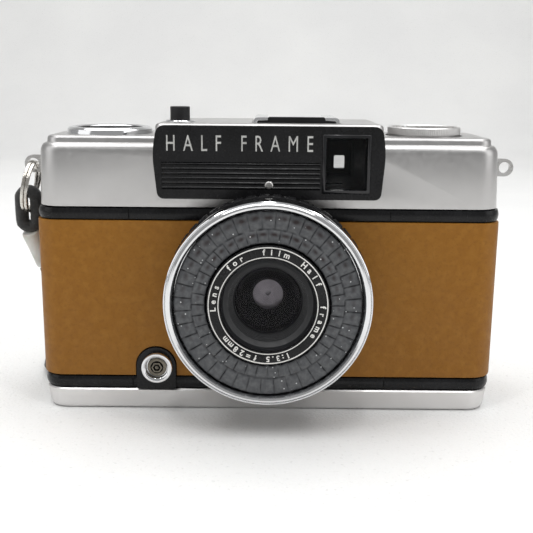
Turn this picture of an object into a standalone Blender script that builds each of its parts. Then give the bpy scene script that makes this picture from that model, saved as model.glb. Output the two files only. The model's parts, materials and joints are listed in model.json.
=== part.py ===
"""Half frame 35 mm viewfinder camera with a ring of selenium cell around its lens.

X runs along the camera, Y from front to back, Z up.  The camera stands on its bottom cover at Z = 0, X = 0 is
the lens axis and Y = 0 is the middle of the body.  All sizes below are in millimetres; MM turns them into metres.
"""

import math

import bmesh
import bpy
from mathutils import Vector

MM = 0.001
GAP = 0.3  # clearance between pieces that sit against each other

# Body
HALF_LENGTH = 54.35  # leather surface at the two ends
HALF_DEPTH = 15.5  # leather surface, front and back
CORNER = 5.5  # upright corners, seen from above
LEATHER = 1.2  # leather with its glue and backing
BOTTOM_TOP = 5.3
LOWER_BAND = (5.6, 8.4)
LEATHER_Z = (8.7, 46.6)
UPPER_BAND = (46.9, 49.8)
BAND_STEP = 0.45  # how far the black bands lie below the leather
BODY_HALF = 52.8
BODY_FRONT = -14.2
BODY_BACK = 8.0
BODY_Z = (1.6, 49.8)
DOOR_FRONT = 9.3

# Top cover
COVER_HALF = 53.5
COVER_DEPTH = 15.3
COVER_BASE = 50.1
SHOULDER = 65.6
CROWN = 69.0
CROWN_HALF = 26.2
COVER_WALL = 0.9

# Film path
CHAMBER_Z = (3.6, 48.2)
CARTRIDGE = (37.8, -0.2)
CARTRIDGE_CHAMBER_R = 12.8
TAKE_UP = (-38.3, 0.0)
TAKE_UP_CHAMBER_R = 12.0
SPROCKET = (-18.2, 2.0)
SPROCKET_WELL_R = 6.6
GATE = (18.0, 24.0)  # half frame picture, wide and high

# Lens, measured forward from Y = 0 along its axis
LENS_Z = 31.0
RECESS_R = 17.0
RING_BORE_R = 19.3
RIM_R = 22.73

# Finder and controls
BUTTON = (-21.15, -6.5)
COUNTER = (-39.0, 0.0)
SHOE_X = (-3.7, 16.4)
SHOE_Y = (-9.0, 9.5)
WHEEL = (-38.3, 5.5)
SOCKET = (-26.5, 11.2)
TRIPOD = (17.0, 0.0)
HINGE = (-53.9, 8.65)

# Strap
LUG = (58.1, 0.0, 58.5)
RING_R = 6.1
RING_TILT = math.radians(9.9)
FERRULE_END = (-57.5, 3.9, 32.1)
CORD_D = 2.4
CORD_ROUTE = [
    (-57.5, 2.65, 31.2), (-57.0, 3.1, 28.0), (-56.7, 3.3, 22.0), (-56.7, 3.3, 15.0), (-56.8, 3.6, 8.5),
    (-57.1, 5.6, 3.8), (-57.3, 10.0, 1.7), (-56.8, 19.0, 1.5), (-52.0, 29.0, 1.5), (-40.0, 35.5, 1.5),
    (-24.0, 36.5, 1.5), (-8.0, 34.0, 1.5), (8.0, 33.0, 1.5), (24.0, 35.5, 1.5), (36.0, 41.0, 1.5),
    (41.0, 49.0, 1.5), (36.0, 57.0, 1.5), (24.0, 60.5, 1.5), (8.0, 59.0, 1.5), (-8.0, 55.5, 1.5),
    (-24.0, 53.5, 1.5), (-40.0, 51.5, 1.5), (-53.0, 45.0, 1.5), (-60.0, 33.0, 1.5), (-61.4, 20.0, 1.5),
    (-60.2, 12.0, 1.8), (-58.7, 7.4, 4.0), (-57.8, 6.2, 8.5), (-57.2, 6.1, 15.0), (-57.0, 6.1, 22.0),
    (-57.1, 5.8, 28.0), (-57.4, 5.25, 31.2),
]

BLACK_PAINT = ((0.02, 0.02, 0.022), 0.35, 0.0)
SATIN = ((0.72, 0.73, 0.75), 0.38, 1.0)
CHROME = ((0.85, 0.86, 0.88), 0.12, 1.0)
STEEL = ((0.55, 0.55, 0.56), 0.32, 1.0)
BRASS = ((0.62, 0.48, 0.24), 0.35, 1.0)
BLACK_METAL = ((0.03, 0.03, 0.032), 0.55, 0.6)
BLACK_PLASTIC = ((0.015, 0.015, 0.016), 0.45, 0.0)
TAN_LEATHER = ((0.30, 0.14, 0.035), 0.55, 0.0)
GLASS = ((0.20, 0.22, 0.26), 0.05, 0.0)
CELL_GREY = ((0.14, 0.15, 0.16), 0.3, 0.0)
SILICON = ((0.10, 0.08, 0.10), 0.4, 0.3)
STRAP_BLACK = ((0.01, 0.01, 0.01), 0.85, 0.0)
PALE_PLASTIC = ((0.62, 0.62, 0.60), 0.4, 0.0)


def clear_scene():
    for obj in list(bpy.data.objects):
        bpy.data.objects.remove(obj, do_unlink=True)


def new_collection(name):
    collection = bpy.data.collections.new(name)
    bpy.context.scene.collection.children.link(collection)
    return collection


clear_scene()
PARTS = new_collection("half_frame_camera")
CUTTERS = new_collection("cutters")


def finish_of(name, look):
    colour, roughness, metallic = look
    material = bpy.data.materials.new(name + "_finish")
    material.use_nodes = True
    shader = material.node_tree.nodes["Principled BSDF"]
    shader.inputs["Base Color"].default_value = (*colour, 1.0)
    shader.inputs["Roughness"].default_value = roughness
    shader.inputs["Metallic"].default_value = metallic
    return material


def place(name, data, look=None, origin=(0.0, 0.0, 0.0)):
    """Links an object to the parts, or to the hidden cutters when it has no look."""
    obj = bpy.data.objects.new(name, data)
    obj.location = Vector(origin) * MM
    if look is None:
        CUTTERS.objects.link(obj)
        obj.hide_render = True
        obj.display_type = "WIRE"
    else:
        PARTS.objects.link(obj)
        data.materials.append(finish_of(name, look))
    return obj


def from_bmesh(name, bm, look=None, origin=(0.0, 0.0, 0.0)):
    mesh = bpy.data.meshes.new(name)
    bmesh.ops.translate(bm, verts=bm.verts, vec=-Vector(origin))
    bmesh.ops.scale(bm, verts=bm.verts, vec=(MM, MM, MM))
    bm.to_mesh(mesh)
    bm.free()
    return place(name, mesh, look, origin)


def block(name, x, y, z, look=None, corner=0.0, sides="both", steps=4, origin=(0.0, 0.0, 0.0)):
    """A box between three pairs of limits, its upright corners rounded at the front, the back or both."""
    bm = bmesh.new()
    bmesh.ops.create_cube(bm, size=1.0)
    centre = Vector((sum(x) / 2, sum(y) / 2, sum(z) / 2))
    bmesh.ops.scale(bm, verts=bm.verts, vec=(x[1] - x[0], y[1] - y[0], z[1] - z[0]))
    bmesh.ops.translate(bm, verts=bm.verts, vec=centre)
    if corner:
        upright = [e for e in bm.edges if abs(e.verts[0].co.z - e.verts[1].co.z) > 1e-6]
        if sides == "front":
            upright = [e for e in upright if e.verts[0].co.y < centre.y]
        if sides == "back":
            upright = [e for e in upright if e.verts[0].co.y > centre.y]
        bmesh.ops.bevel(bm, geom=upright, offset=corner, segments=steps, profile=0.5, affect="EDGES")
    return from_bmesh(name, bm, look, origin)


def soften(obj, width, segments=2):
    """Rounds the sharp edges that the object has so far."""
    bevel = obj.modifiers.new("soften", "BEVEL")
    bevel.width = width * MM
    bevel.segments = segments
    bevel.limit_method = "ANGLE"
    bevel.angle_limit = math.radians(50)
    return obj


TURN_TO = {"Z": (0.0, 0.0, 0.0), "FRONT": (math.pi / 2, 0.0, 0.0), "X": (0.0, math.pi / 2, 0.0)}


def turned(name, profile, centre, look=None, axis="Z", segments=32, closed=False):
    """Turns (radius, height) points, listed down the outer side, about Z, X or the lens direction."""
    mesh = bpy.data.meshes.new(name)
    points = [(r * MM, 0.0, h * MM) for r, h in profile]
    edges = [(i, i + 1) for i in range(len(points) - 1)]
    if closed:
        edges.append((len(points) - 1, 0))
    mesh.from_pydata(points, edges, [])
    obj = place(name, mesh, look, centre)
    obj.rotation_euler = TURN_TO[axis]
    screw = obj.modifiers.new("turn", "SCREW")
    screw.axis = "Z"
    screw.steps = segments
    screw.render_steps = segments
    screw.use_merge_vertices = True
    screw.merge_threshold = 0.00001
    return obj


def ring(name, inner, outer, span, centre, look=None, axis="Z", segments=32):
    profile = [(outer, span[1]), (outer, span[0]), (inner, span[0]), (inner, span[1])]
    return turned(name, profile, centre, look, axis, segments, closed=True)


def disc(name, radius, span, centre, look=None, axis="Z", segments=32):
    profile = [(0.0, span[1]), (radius, span[1]), (radius, span[0]), (0.0, span[0])]
    return turned(name, profile, centre, look, axis, segments)


def cut(obj, *cutters):
    for cutter in cutters:
        boolean = obj.modifiers.new("cut", "BOOLEAN")
        boolean.operation = "DIFFERENCE"
        boolean.object = cutter
    return obj


def join(obj, *others):
    for other in others:
        boolean = obj.modifiers.new("join", "BOOLEAN")
        boolean.operation = "UNION"
        boolean.object = other
    return obj


def tube(name, points, radius, look, cyclic=False):
    curve = bpy.data.curves.new(name, "CURVE")
    curve.dimensions = "3D"
    curve.bevel_depth = radius * MM
    curve.bevel_resolution = 2
    curve.use_fill_caps = not cyclic
    spline = curve.splines.new("POLY")
    spline.points.add(len(points) - 1)
    for point, place_mm in zip(spline.points, points):
        point.co = (*(Vector(place_mm) * MM), 1.0)
    spline.use_cyclic_u = cyclic
    return place(name, curve, look)


def plate(name, outline, y, look=None):
    """A flat plate across the lens direction from an (x, z) outline, between two Y values."""
    curve = bpy.data.curves.new(name, "CURVE")
    curve.dimensions = "2D"
    curve.fill_mode = "BOTH"
    curve.extrude = (y[1] - y[0]) / 2 * MM
    spline = curve.splines.new("POLY")
    spline.points.add(len(outline) - 1)
    for point, (x, z) in zip(spline.points, outline):
        point.co = (x * MM, z * MM, 0.0, 1.0)
    spline.use_cyclic_u = True
    flat = bpy.data.objects.new(name + "_outline", curve)
    flat.rotation_euler = TURN_TO["FRONT"]
    flat.location.y = (y[0] + y[1]) / 2 * MM
    CUTTERS.objects.link(flat)
    bpy.context.view_layer.update()
    seen = flat.evaluated_get(bpy.context.evaluated_depsgraph_get())
    mesh = bpy.data.meshes.new_from_object(seen)
    mesh.transform(flat.matrix_world)
    bm = bmesh.new()
    bm.from_mesh(mesh)
    bmesh.ops.remove_doubles(bm, verts=bm.verts, dist=1e-6)
    bmesh.ops.recalc_face_normals(bm, faces=bm.faces)
    bm.to_mesh(mesh)
    bm.free()
    mesh.materials.clear()
    bpy.data.objects.remove(flat, do_unlink=True)
    return place(name, mesh, look)


def arc(centre, radius, start, end, steps):
    """Points of an arc in degrees, counted from +X."""
    angles = [math.radians(start + (end - start) * i / steps) for i in range(steps + 1)]
    return [(centre[0] + radius * math.cos(a), centre[1] + radius * math.sin(a)) for a in angles]


def pivot(name, at):
    empty = bpy.data.objects.new(name, None)
    empty.location = Vector(at) * MM
    PARTS.objects.link(empty)
    return empty


def hang(obj, empty):
    """Parents an object to an empty without moving it."""
    obj.parent = empty
    obj.matrix_parent_inverse.translation = -empty.location


def smooth_route(points, spacing):
    """Catmull-Rom curve through the points, with a point about every spacing millimetres."""
    ends = [2 * Vector(points[0]) - Vector(points[1])]
    ends += [Vector(p) for p in points]
    ends.append(2 * Vector(points[-1]) - Vector(points[-2]))
    route = []
    for a, b, c, d in zip(ends, ends[1:], ends[2:], ends[3:]):
        steps = max(1, round((c - b).length / spacing))
        for i in range(steps):
            t = i / steps
            route.append(0.5 * (2 * b + (c - a) * t + (2 * a - 5 * b + 4 * c - d) * t * t
                                + (3 * b - a - 3 * c + d) * t ** 3))
    route.append(ends[-2])
    return route


def shell_around_body(name, half, depth, z, look, corner):
    """A skin round the front and the two ends of the body, as far back as the door."""
    skin = block(name, (-half, half), (-depth, BODY_BACK), z, look, corner, "front")
    inner = block(name + "_inside", (-BODY_HALF - GAP, BODY_HALF + GAP), (BODY_FRONT - GAP, BODY_BACK + 5),
                  (z[0] - 5, z[1] + 5), None, corner - LEATHER, "front")
    return cut(skin, inner)


# ---------------------------------------------------------------- body and covers

def make_chassis():
    """Casting with both film chambers open to the back, the gate, and the shutter recess in front."""
    body = block("chassis", (-BODY_HALF, BODY_HALF), (BODY_FRONT, BODY_BACK), BODY_Z, BLACK_METAL,
                 CORNER - LEATHER, "front")
    for label, centre, radius in (("cartridge", CARTRIDGE, CARTRIDGE_CHAMBER_R),
                                  ("take_up", TAKE_UP, TAKE_UP_CHAMBER_R),
                                  ("sprocket", SPROCKET, SPROCKET_WELL_R)):
        well = disc(label + "_well", radius, CHAMBER_Z, (*centre, 0.0), segments=24)
        mouth = block(label + "_mouth", (centre[0] - radius, centre[0] + radius), (centre[1], BODY_BACK + 5),
                      CHAMBER_Z)
        cut(body, well, mouth)
    recess = disc("shutter_recess", RECESS_R, (6.0, 20.0), (0, 0, LENS_Z), axis="FRONT")
    gate = block("film_gate", (-GATE[0] / 2, GATE[0] / 2), (-8.0, BODY_BACK + 5),
                 (LENS_Z - GATE[1] / 2, LENS_Z + GATE[1] / 2))
    spindle = disc("rewind_bore", 3.2, (45.0, 55.0), (*CARTRIDGE, 0.0), segments=16)
    pocket = block("tripod_pocket", (TRIPOD[0] - 5.0, TRIPOD[0] + 5.0), (-5.0, 5.0), (-1.0, 6.8))
    release = disc("release_pocket", 2.6, (-1.0, 5.0), (-5.0, 2.0, 0.0), segments=16)
    return cut(body, recess, gate, spindle, pocket, release)


def make_bottom_cover():
    half = HALF_LENGTH - BAND_STEP
    cover = block("bottom_cover", (-half, half), (-HALF_DEPTH, HALF_DEPTH), (0.0, BOTTOM_TOP), SATIN, CORNER)
    soften(cover, 0.8)
    inside = block("bottom_inside", (-BODY_HALF - 0.4, BODY_HALF + 0.4), (-HALF_DEPTH + 0.8, HALF_DEPTH - 0.8),
                   (1.3, 9.0), None, CORNER - 1.0)
    cut(cover, inside, disc("tripod_hole", 4.9, (-1, 3), (*TRIPOD, 0.0), segments=24),
        disc("release_hole", 2.2, (-1, 3), (-5.0, 2.0, 0.0), segments=16))
    for x in (-46.0, 46.0):
        cut(cover, disc("screw_hole", 2.0, (-1, 3), (x, -8.0, 0.0), segments=16))
    return cover


def make_screws():
    """Two screws hold the bottom cover to the casting; their heads sit in its floor."""
    for side, x in (("left", -46.0), ("right", 46.0)):
        disc("bottom_screw_" + side, 1.7, (0.15, 1.35), (x, -8.0, 0.0), STEEL, segments=16)


def make_bands_and_leather():
    half = HALF_LENGTH - BAND_STEP
    depth = HALF_DEPTH - BAND_STEP
    upper = shell_around_body("upper_band", half, depth, UPPER_BAND, BLACK_PAINT, CORNER)
    lower = shell_around_body("lower_band", half, depth, LOWER_BAND, BLACK_PAINT, CORNER)
    boss = disc("socket_boss", 4.7, (14.5, 16.0), (SOCKET[0] - 0.3, 0.0, SOCKET[1]), axis="FRONT", segments=24)
    foot = block("socket_foot", (-31.5, -22.1), (-16.0, -14.5), (LOWER_BAND[0], SOCKET[1]))
    hole = disc("socket_hole", 2.6, (10.0, 20.0), (SOCKET[0], 0.0, SOCKET[1]), axis="FRONT", segments=16)
    cut(join(lower, foot, boss), hole)
    leather = shell_around_body("front_leather", HALF_LENGTH, HALF_DEPTH, LEATHER_Z, TAN_LEATHER, CORNER)
    around_lens = disc("lens_hole", RECESS_R - 0.1, (10.0, 20.0), (0, 0, LENS_Z), axis="FRONT")
    around_boss = disc("boss_hole", 5.0, (10.0, 20.0), (SOCKET[0] - 0.3, 0.0, SOCKET[1]), axis="FRONT",
                       segments=24)
    around_foot = block("foot_hole", (-31.8, -21.8), (-20.0, -13.0), (0.0, SOCKET[1]))
    cut(leather, around_lens, around_boss, around_foot)
    cut(upper, around_lens)


def make_top_cover():
    """Thin shell: a long shoulder and the raised crown over the finder, with the shoe's step in its top."""
    cover = block("top_cover", (-COVER_HALF, COVER_HALF), (-COVER_DEPTH, COVER_DEPTH), (COVER_BASE, SHOULDER),
                  SATIN, CORNER)
    soften(cover, 1.6)
    crown = block("crown", (-CROWN_HALF, CROWN_HALF), (-COVER_DEPTH + 0.1, COVER_DEPTH - 0.3), (60.0, CROWN),
                  None, 1.0, steps=2)
    join(cover, soften(crown, 0.8))
    inner_half = COVER_HALF - COVER_WALL
    inner_depth = COVER_DEPTH - COVER_WALL
    low = SHOULDER - COVER_WALL
    hollow = block("cover_inside", (-inner_half, inner_half), (-inner_depth, inner_depth), (45.0, low), None,
                   CORNER - COVER_WALL)
    shoe_floor = 66.8
    side = CROWN_HALF - COVER_WALL
    crown_hollow = block("crown_inside", (-side, side), (-inner_depth + 0.3, inner_depth - 0.3),
                         (60.0, CROWN - COVER_WALL))
    cut(cover, hollow, crown_hollow)
    shoe_tray = block("shoe_tray", (SHOE_X[0] - 1.3, SHOE_X[1] + 1.3), (SHOE_Y[0] - 1.3, inner_depth + 0.2),
                      (shoe_floor - COVER_WALL, CROWN - 0.4))
    well_wall = disc("rewind_well_wall", 10.2, (62.4, 65.2), (*CARTRIDGE, 0.0))
    join(cover, shoe_tray, well_wall)
    cut(cover,
        disc("rewind_well", 9.2, (63.3, 70.0), (*CARTRIDGE, 0.0)),
        disc("rewind_hole", 3.2, (60.0, 70.0), (*CARTRIDGE, 0.0), segments=16),
        block("shoe_step", (SHOE_X[0] - 0.4, SHOE_X[1] + 0.4), (SHOE_Y[0] - 0.4, 20.0), (shoe_floor, 75.0)),
        block("finder_hole", (12.2, 22.8), (-20.0, -12.0), (53.8, 66.8)),
        block("eyepiece_hole", (12.0, 23.0), (12.0, 20.0), (54.8, 65.2)),
        block("wheel_slot", (WHEEL[0] - 10.5, WHEEL[0] + 10.5), (12.0, 20.0), (51.4, 56.4)),
        disc("counter_hole", 8.6, (60.0, 70.0), (*COUNTER, 0.0)),
        disc("button_hole", 2.8, (60.0, 75.0), (*BUTTON, 0.0), segments=20))


def make_front_plate():
    outline = arc((-24.2, 53.2), 1.2, 180, 270, 3) + arc((24.4, 53.2), 1.2, 270, 360, 3)
    outline += [(26.2, 63.0)] + arc((24.2, 67.7), 1.2, 0, 90, 3) + arc((-24.3, 67.7), 1.2, 90, 180, 3)
    outline += [(-26.3, 62.9)]
    front = plate("front_plate", outline, (-18.0, -15.6), BLACK_PAINT)
    cut(front, block("plate_window", (12.2, 22.8), (-20.0, -12.0), (53.8, 66.8)))


def make_finder():
    frame = block("finder_frame", (12.5, 22.5), (-18.2, -13.6), (54.1, 66.5), BLACK_PLASTIC)
    cut(frame, block("finder_frame_inside", (13.5, 21.5), (-25.0, -10.0), (55.1, 65.5)))
    block("finder_objective", (13.8, 21.2), (-16.8, -15.4), (55.4, 65.2), GLASS)
    rear = block("eyepiece_frame", (12.3, 22.7), (14.0, 17.0), (55.1, 64.9), BLACK_PLASTIC, 0.0)
    soften(rear, 0.6)
    cut(rear, block("eyepiece_inside", (14.0, 21.0), (10.0, 20.0), (56.8, 63.2)))
    block("eyepiece_lens", (14.3, 20.7), (14.6, 16.0), (57.1, 62.9), GLASS)


def make_back_door():
    """Door across the whole back, hinged on an upright pin at one end, with the pressure plate inside."""
    hinge = pivot("door_hinge", (*HINGE, 0.0))
    inner = HALF_LENGTH - LEATHER
    back = HALF_DEPTH - LEATHER
    z = (LOWER_BAND[0], UPPER_BAND[1])
    door = block("back_door", (-inner, inner), (DOOR_FRONT, back), z, BLACK_METAL, CORNER - LEATHER, "back")
    for label, span in (("low", LOWER_BAND), ("high", UPPER_BAND)):
        join(door, block("door_band_" + label, (-inner - 0.75, inner + 0.75), (DOOR_FRONT, back + 0.75), span,
                         None, CORNER - BAND_STEP, "back"))
    cut(door, block("door_inside", (-inner + 1.0, inner - 1.0), (0.0, back - 1.0), (6.8, 48.6), None, 3.4,
                    "back"))
    leather = block("back_leather", (-HALF_LENGTH, HALF_LENGTH), (DOOR_FRONT, HALF_DEPTH), LEATHER_Z,
                    TAN_LEATHER, CORNER, "back")
    cut(leather, block("back_leather_inside", (-inner - GAP, inner + GAP), (0.0, back + GAP), (0.0, 60.0), None,
                       CORNER - LEATHER, "back"))
    pressure = block("pressure_plate", (-13.5, 13.5), (8.5, 9.5), (LENS_Z - 17.5, LENS_Z + 17.5), BLACK_METAL,
                     origin=(0.0, 9.0, LENS_Z))
    for obj in (door, leather, pressure):
        hang(obj, hinge)
    disc("hinge_pin", 0.45, (6.4, 49.0), (*HINGE, 0.0), STEEL, segments=12)
    latch = block("door_latch", (54.65, 56.0), (1.5, 6.5), (39.5, 46.0), CHROME, origin=(55.3, 4.0, 42.7))
    soften(latch, 0.4)


# ---------------------------------------------------------------- lens and shutter

LENS_CENTRE = (0.0, 0.0, LENS_Z)


def make_shutter_housing():
    profile = [
        (19.0, 28.2), (19.0, 18.9), (20.4, 18.9), (20.4, 15.9), (16.6, 15.9), (16.6, 6.4), (5.6, 6.4),
        (5.6, 17.7), (14.8, 17.7), (14.8, 28.2),
    ]
    turned("shutter_housing", profile, LENS_CENTRE, BLACK_METAL, "FRONT", 32, closed=True)


def make_lens_rings():
    """The two setting rings that turn on the housing."""
    ring("aperture_ring", RING_BORE_R, 23.6, (19.2, 25.9), LENS_CENTRE, BLACK_PAINT, "FRONT", 40)
    ring("film_speed_ring", RING_BORE_R, 22.4, (26.2, 28.2), LENS_CENTRE, BLACK_PAINT, "FRONT", 40)


def make_cell_group():
    """Chrome rim that carries the ring-shaped cell, its pebbled window and the name ring."""
    profile = [(22.2, 33.0), (RIM_R, 32.4), (RIM_R, 28.5), (13.7, 28.5), (13.7, 29.3), (20.8, 29.3), (21.4, 33.0)]
    turned("chrome_rim", profile, LENS_CENTRE, CHROME, "FRONT", 40, closed=True)
    ring("selenium_cell", 14.0, 20.4, (29.6, 30.6), LENS_CENTRE, SILICON, "FRONT")
    window = [(20.6, 31.9), (20.6, 30.9), (13.6, 30.9), (13.6, 32.6), (16.4, 32.4)]
    turned("cell_window", window, LENS_CENTRE, CELL_GREY, "FRONT", 40, closed=True)
    name = [(13.4, 33.8), (13.4, 32.95), (10.4, 32.95), (10.4, 33.6), (11.0, 34.0), (13.2, 34.0)]
    turned("name_ring", name, LENS_CENTRE, BLACK_PAINT, "FRONT", 32, closed=True)


def make_optics():
    barrel = [
        (13.2, 32.6), (13.2, 21.8), (5.4, 21.8), (5.4, 24.0), (7.8, 24.0), (7.8, 28.2), (8.8, 28.6), (8.8, 30.2),
        (10.1, 31.0), (10.1, 32.6),
    ]
    turned("lens_barrel", barrel, LENS_CENTRE, BLACK_PAINT, "FRONT", 32, closed=True)
    front = [(0.0, 28.1), (4.0, 27.9), (7.4, 27.2), (7.4, 25.2), (4.0, 24.7), (0.0, 24.5)]
    turned("front_element", front, LENS_CENTRE, GLASS, "FRONT", 24)
    rear = [(0.0, 16.6), (3.0, 16.4), (5.2, 15.6), (5.2, 12.6), (3.0, 12.2), (0.0, 12.0)]
    turned("rear_element", rear, LENS_CENTRE, GLASS, "FRONT", 24)


def make_blades():
    """Two notched aperture blades and two shutter blades slide across the axis between the lens groups."""
    half = 6.0
    notch = 2.6
    overlap = 1.8
    for label, side, front in (("upper", 1, 21.4), ("lower", -1, 20.8)):
        edge = LENS_Z - side * overlap
        far = LENS_Z + side * 8.0
        outline = [(-half, far), (-half, edge), (-notch, edge), (0.0, edge + side * notch), (notch, edge),
                   (half, edge), (half, far)]
        plate("aperture_blade_" + label, outline, (-front, -front + 0.3), STEEL)
    for label, side, front in (("left", -1, 20.1), ("right", 1, 19.4)):
        edge = -side * 0.4
        far = side * 8.0
        block("shutter_blade_" + label, (min(edge, far), max(edge, far)), (-front, -front + 0.3),
              (LENS_Z - 5.5, LENS_Z + 5.5), STEEL)


def make_sync_socket():
    centre = (SOCKET[0], 0.0, SOCKET[1])
    shell = [(3.5, 17.6), (3.75, 17.3), (3.75, 16.3), (2.3, 16.3), (2.3, 14.8), (1.7, 14.8), (1.7, 16.7), (2.6, 16.7),
             (2.6, 17.6)]
    turned("sync_socket_shell", shell, centre, CHROME, "FRONT", 24, closed=True)
    core = [(0.0, 17.5), (0.6, 17.5), (0.6, 17.2), (2.3, 17.2), (2.3, 17.0), (1.4, 17.0), (1.4, 15.2), (0.0, 15.2)]
    turned("sync_socket_core", core, centre, BLACK_PLASTIC, "FRONT", 20)


# ---------------------------------------------------------------- top controls

def make_shutter_button():
    centre = (*BUTTON, 0.0)
    ring("shutter_collar", 2.75, 3.5, (69.3, 70.0), centre, CHROME, segments=24)
    stem = [(0.0, 72.4), (1.6, 72.6), (2.33, 72.2), (2.33, 66.0), (3.4, 66.0), (3.4, 64.8), (1.0, 64.8), (1.0, 61.2),
            (0.0, 61.2)]
    turned("shutter_button", stem, centre, BLACK_PAINT, segments=20)


def make_hot_shoe():
    """Accessory shoe of the usual size: 18.9 mm inside, a 13.5 mm slot and 2 mm under the lips."""
    shoe = block("hot_shoe", SHOE_X, SHOE_Y, (67.1, 70.25), CHROME)
    inside = block("shoe_inside", (SHOE_X[0] + 0.6, SHOE_X[1] - 0.6), (SHOE_Y[0] + 1.2, 20.0), (67.55, 69.65))
    slot = block("shoe_slot", (SHOE_X[0] + 3.3, SHOE_X[1] - 3.3), (SHOE_Y[0] + 1.2, 20.0), (68.0, 75.0))
    front = block("shoe_front_slot", (SHOE_X[0] + 3.3, SHOE_X[1] - 3.3), (-20.0, SHOE_Y[0] + 2.0), (69.0, 75.0))
    cut(shoe, inside, slot, front)
    block("shoe_insulator", (SHOE_X[0] + 3.6, SHOE_X[1] - 3.6), (SHOE_Y[0] + 2.1, 8.6), (67.85, 68.05),
          BLACK_PLASTIC)


def make_counter():
    centre = (*COUNTER, 0.0)
    bezel = [(9.6, 67.3), (10.35, 66.6), (10.35, 65.9), (8.2, 65.9), (8.2, 67.3)]
    turned("counter_bezel", bezel, centre, CHROME, segments=40, closed=True)
    window = [(0.0, 67.2), (4.0, 67.0), (7.9, 66.4), (7.9, 65.9), (0.0, 65.9)]
    turned("counter_window", window, centre, GLASS, segments=32)
    dial = [(0.0, 65.2), (8.2, 65.2), (8.2, 64.7), (1.2, 64.7), (1.2, 57.6), (0.0, 57.6)]
    turned("counter_dial", dial, centre, PALE_PLASTIC, segments=32)


def make_rewind():
    centre = (*CARTRIDGE, 0.0)
    ring("rewind_sleeve", 2.1, 3.0, (56.0, 62.9), centre, BRASS, segments=16)
    shaft = [(0.0, 62.9), (1.8, 62.9), (1.8, 46.0), (2.8, 46.0), (2.8, 41.5), (0.0, 41.5)]
    turned("rewind_shaft", shaft, centre, STEEL, segments=16)
    knob = [(0.0, 67.0), (7.9, 67.0), (7.9, 68.3), (8.5, 68.3), (8.8, 68.0), (8.8, 63.7), (2.6, 63.7), (2.6, 63.3),
            (0.0, 63.3)]
    body = turned("rewind_knob", knob, centre, SATIN, segments=32)
    cut(body, disc("crank_pocket", 2.4, (64.8, 75.0), (CARTRIDGE[0] - 4.6, CARTRIDGE[1], 0.0), segments=20))
    hinge = (CARTRIDGE[0] + 6.6, CARTRIDGE[1], 68.0)
    crank = block("rewind_crank", (CARTRIDGE[0] - 6.8, CARTRIDGE[0] + 7.2),
                  (CARTRIDGE[1] - 2.1, CARTRIDGE[1] + 2.1), (67.65, 68.35), STEEL, 1.8, steps=3, origin=hinge)
    tip = disc("crank_knob", 1.8, (65.3, 67.35), (CARTRIDGE[0] - 4.6, CARTRIDGE[1], 0.0), BLACK_PLASTIC,
               segments=16)
    fold = pivot("crank_fold", hinge)
    hang(crank, fold)
    hang(tip, fold)


def make_film_drive():
    ring("advance_wheel", 1.5, 11.5, (51.9, 55.9), (*WHEEL, 0.0), BLACK_PAINT, segments=36)
    spool = [(0.0, 47.6), (8.8, 47.6), (8.8, 46.4), (6.0, 46.4), (6.0, 6.0), (8.8, 6.0), (8.8, 4.8), (0.0, 4.8)]
    turned("take_up_spool", spool, (*TAKE_UP, 0.0), BLACK_PLASTIC, segments=24)
    low = LENS_Z - 14.0
    high = LENS_Z + 14.0
    sprocket = [(0.0, 47.4), (3.0, 47.4), (3.0, high + 1.5), (6.0, high + 1.5), (6.0, high - 1.5), (4.4, high - 2.5),
                (4.4, low + 2.5), (6.0, low + 1.5), (6.0, low - 1.5), (3.0, low - 1.5), (3.0, 4.6), (0.0, 4.6)]
    turned("sprocket", sprocket, (*SPROCKET, 0.0), BLACK_PLASTIC, segments=24)


def make_meter():
    housing = block("meter_housing", (-14.0, 0.0), (-2.0, 9.0), (50.9, 59.0), BRASS)
    soften(housing, 0.6)
    block("meter_needle", (-7.5, -6.5), (-7.0, 4.5), (59.5, 60.1), STEEL, origin=(-7.0, 3.5, 59.8))
    block("low_light_flag", (8.0, 17.4), (-8.3, -7.8), (51.2, 53.2), PALE_PLASTIC, origin=(8.8, -8.05, 52.2))


# ---------------------------------------------------------------- underside

def make_underside():
    socket = [(0.0, 6.4), (3.9, 6.4), (3.9, 1.0), (4.6, 1.0), (4.6, 0.1), (3.18, 0.1), (3.18, 5.2), (0.0, 5.2)]
    turned("tripod_socket", socket, (*TRIPOD, 0.0), STEEL, segments=24)
    release = [(0.0, 3.4), (2.3, 3.4), (2.3, 2.0), (1.9, 2.0), (1.9, 0.2), (0.0, 0.2)]
    turned("rewind_release", release, (-5.0, 2.0, 0.0), CHROME, segments=16)


# ---------------------------------------------------------------- strap

def make_lug(side, sign):
    centre = (sign * LUG[0], LUG[1], LUG[2])
    eye = ring(side + "_strap_lug", 1.25, 2.15, (-0.75, 0.75), centre, STEEL, "FRONT", 20)
    x = sorted((sign * (COVER_HALF + GAP), sign * (LUG[0] - 1.45)))
    join(eye, block(side + "_lug_tab", x, (-0.75, 0.75), (LUG[2] - 2.4, LUG[2] + 2.1)))


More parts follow.
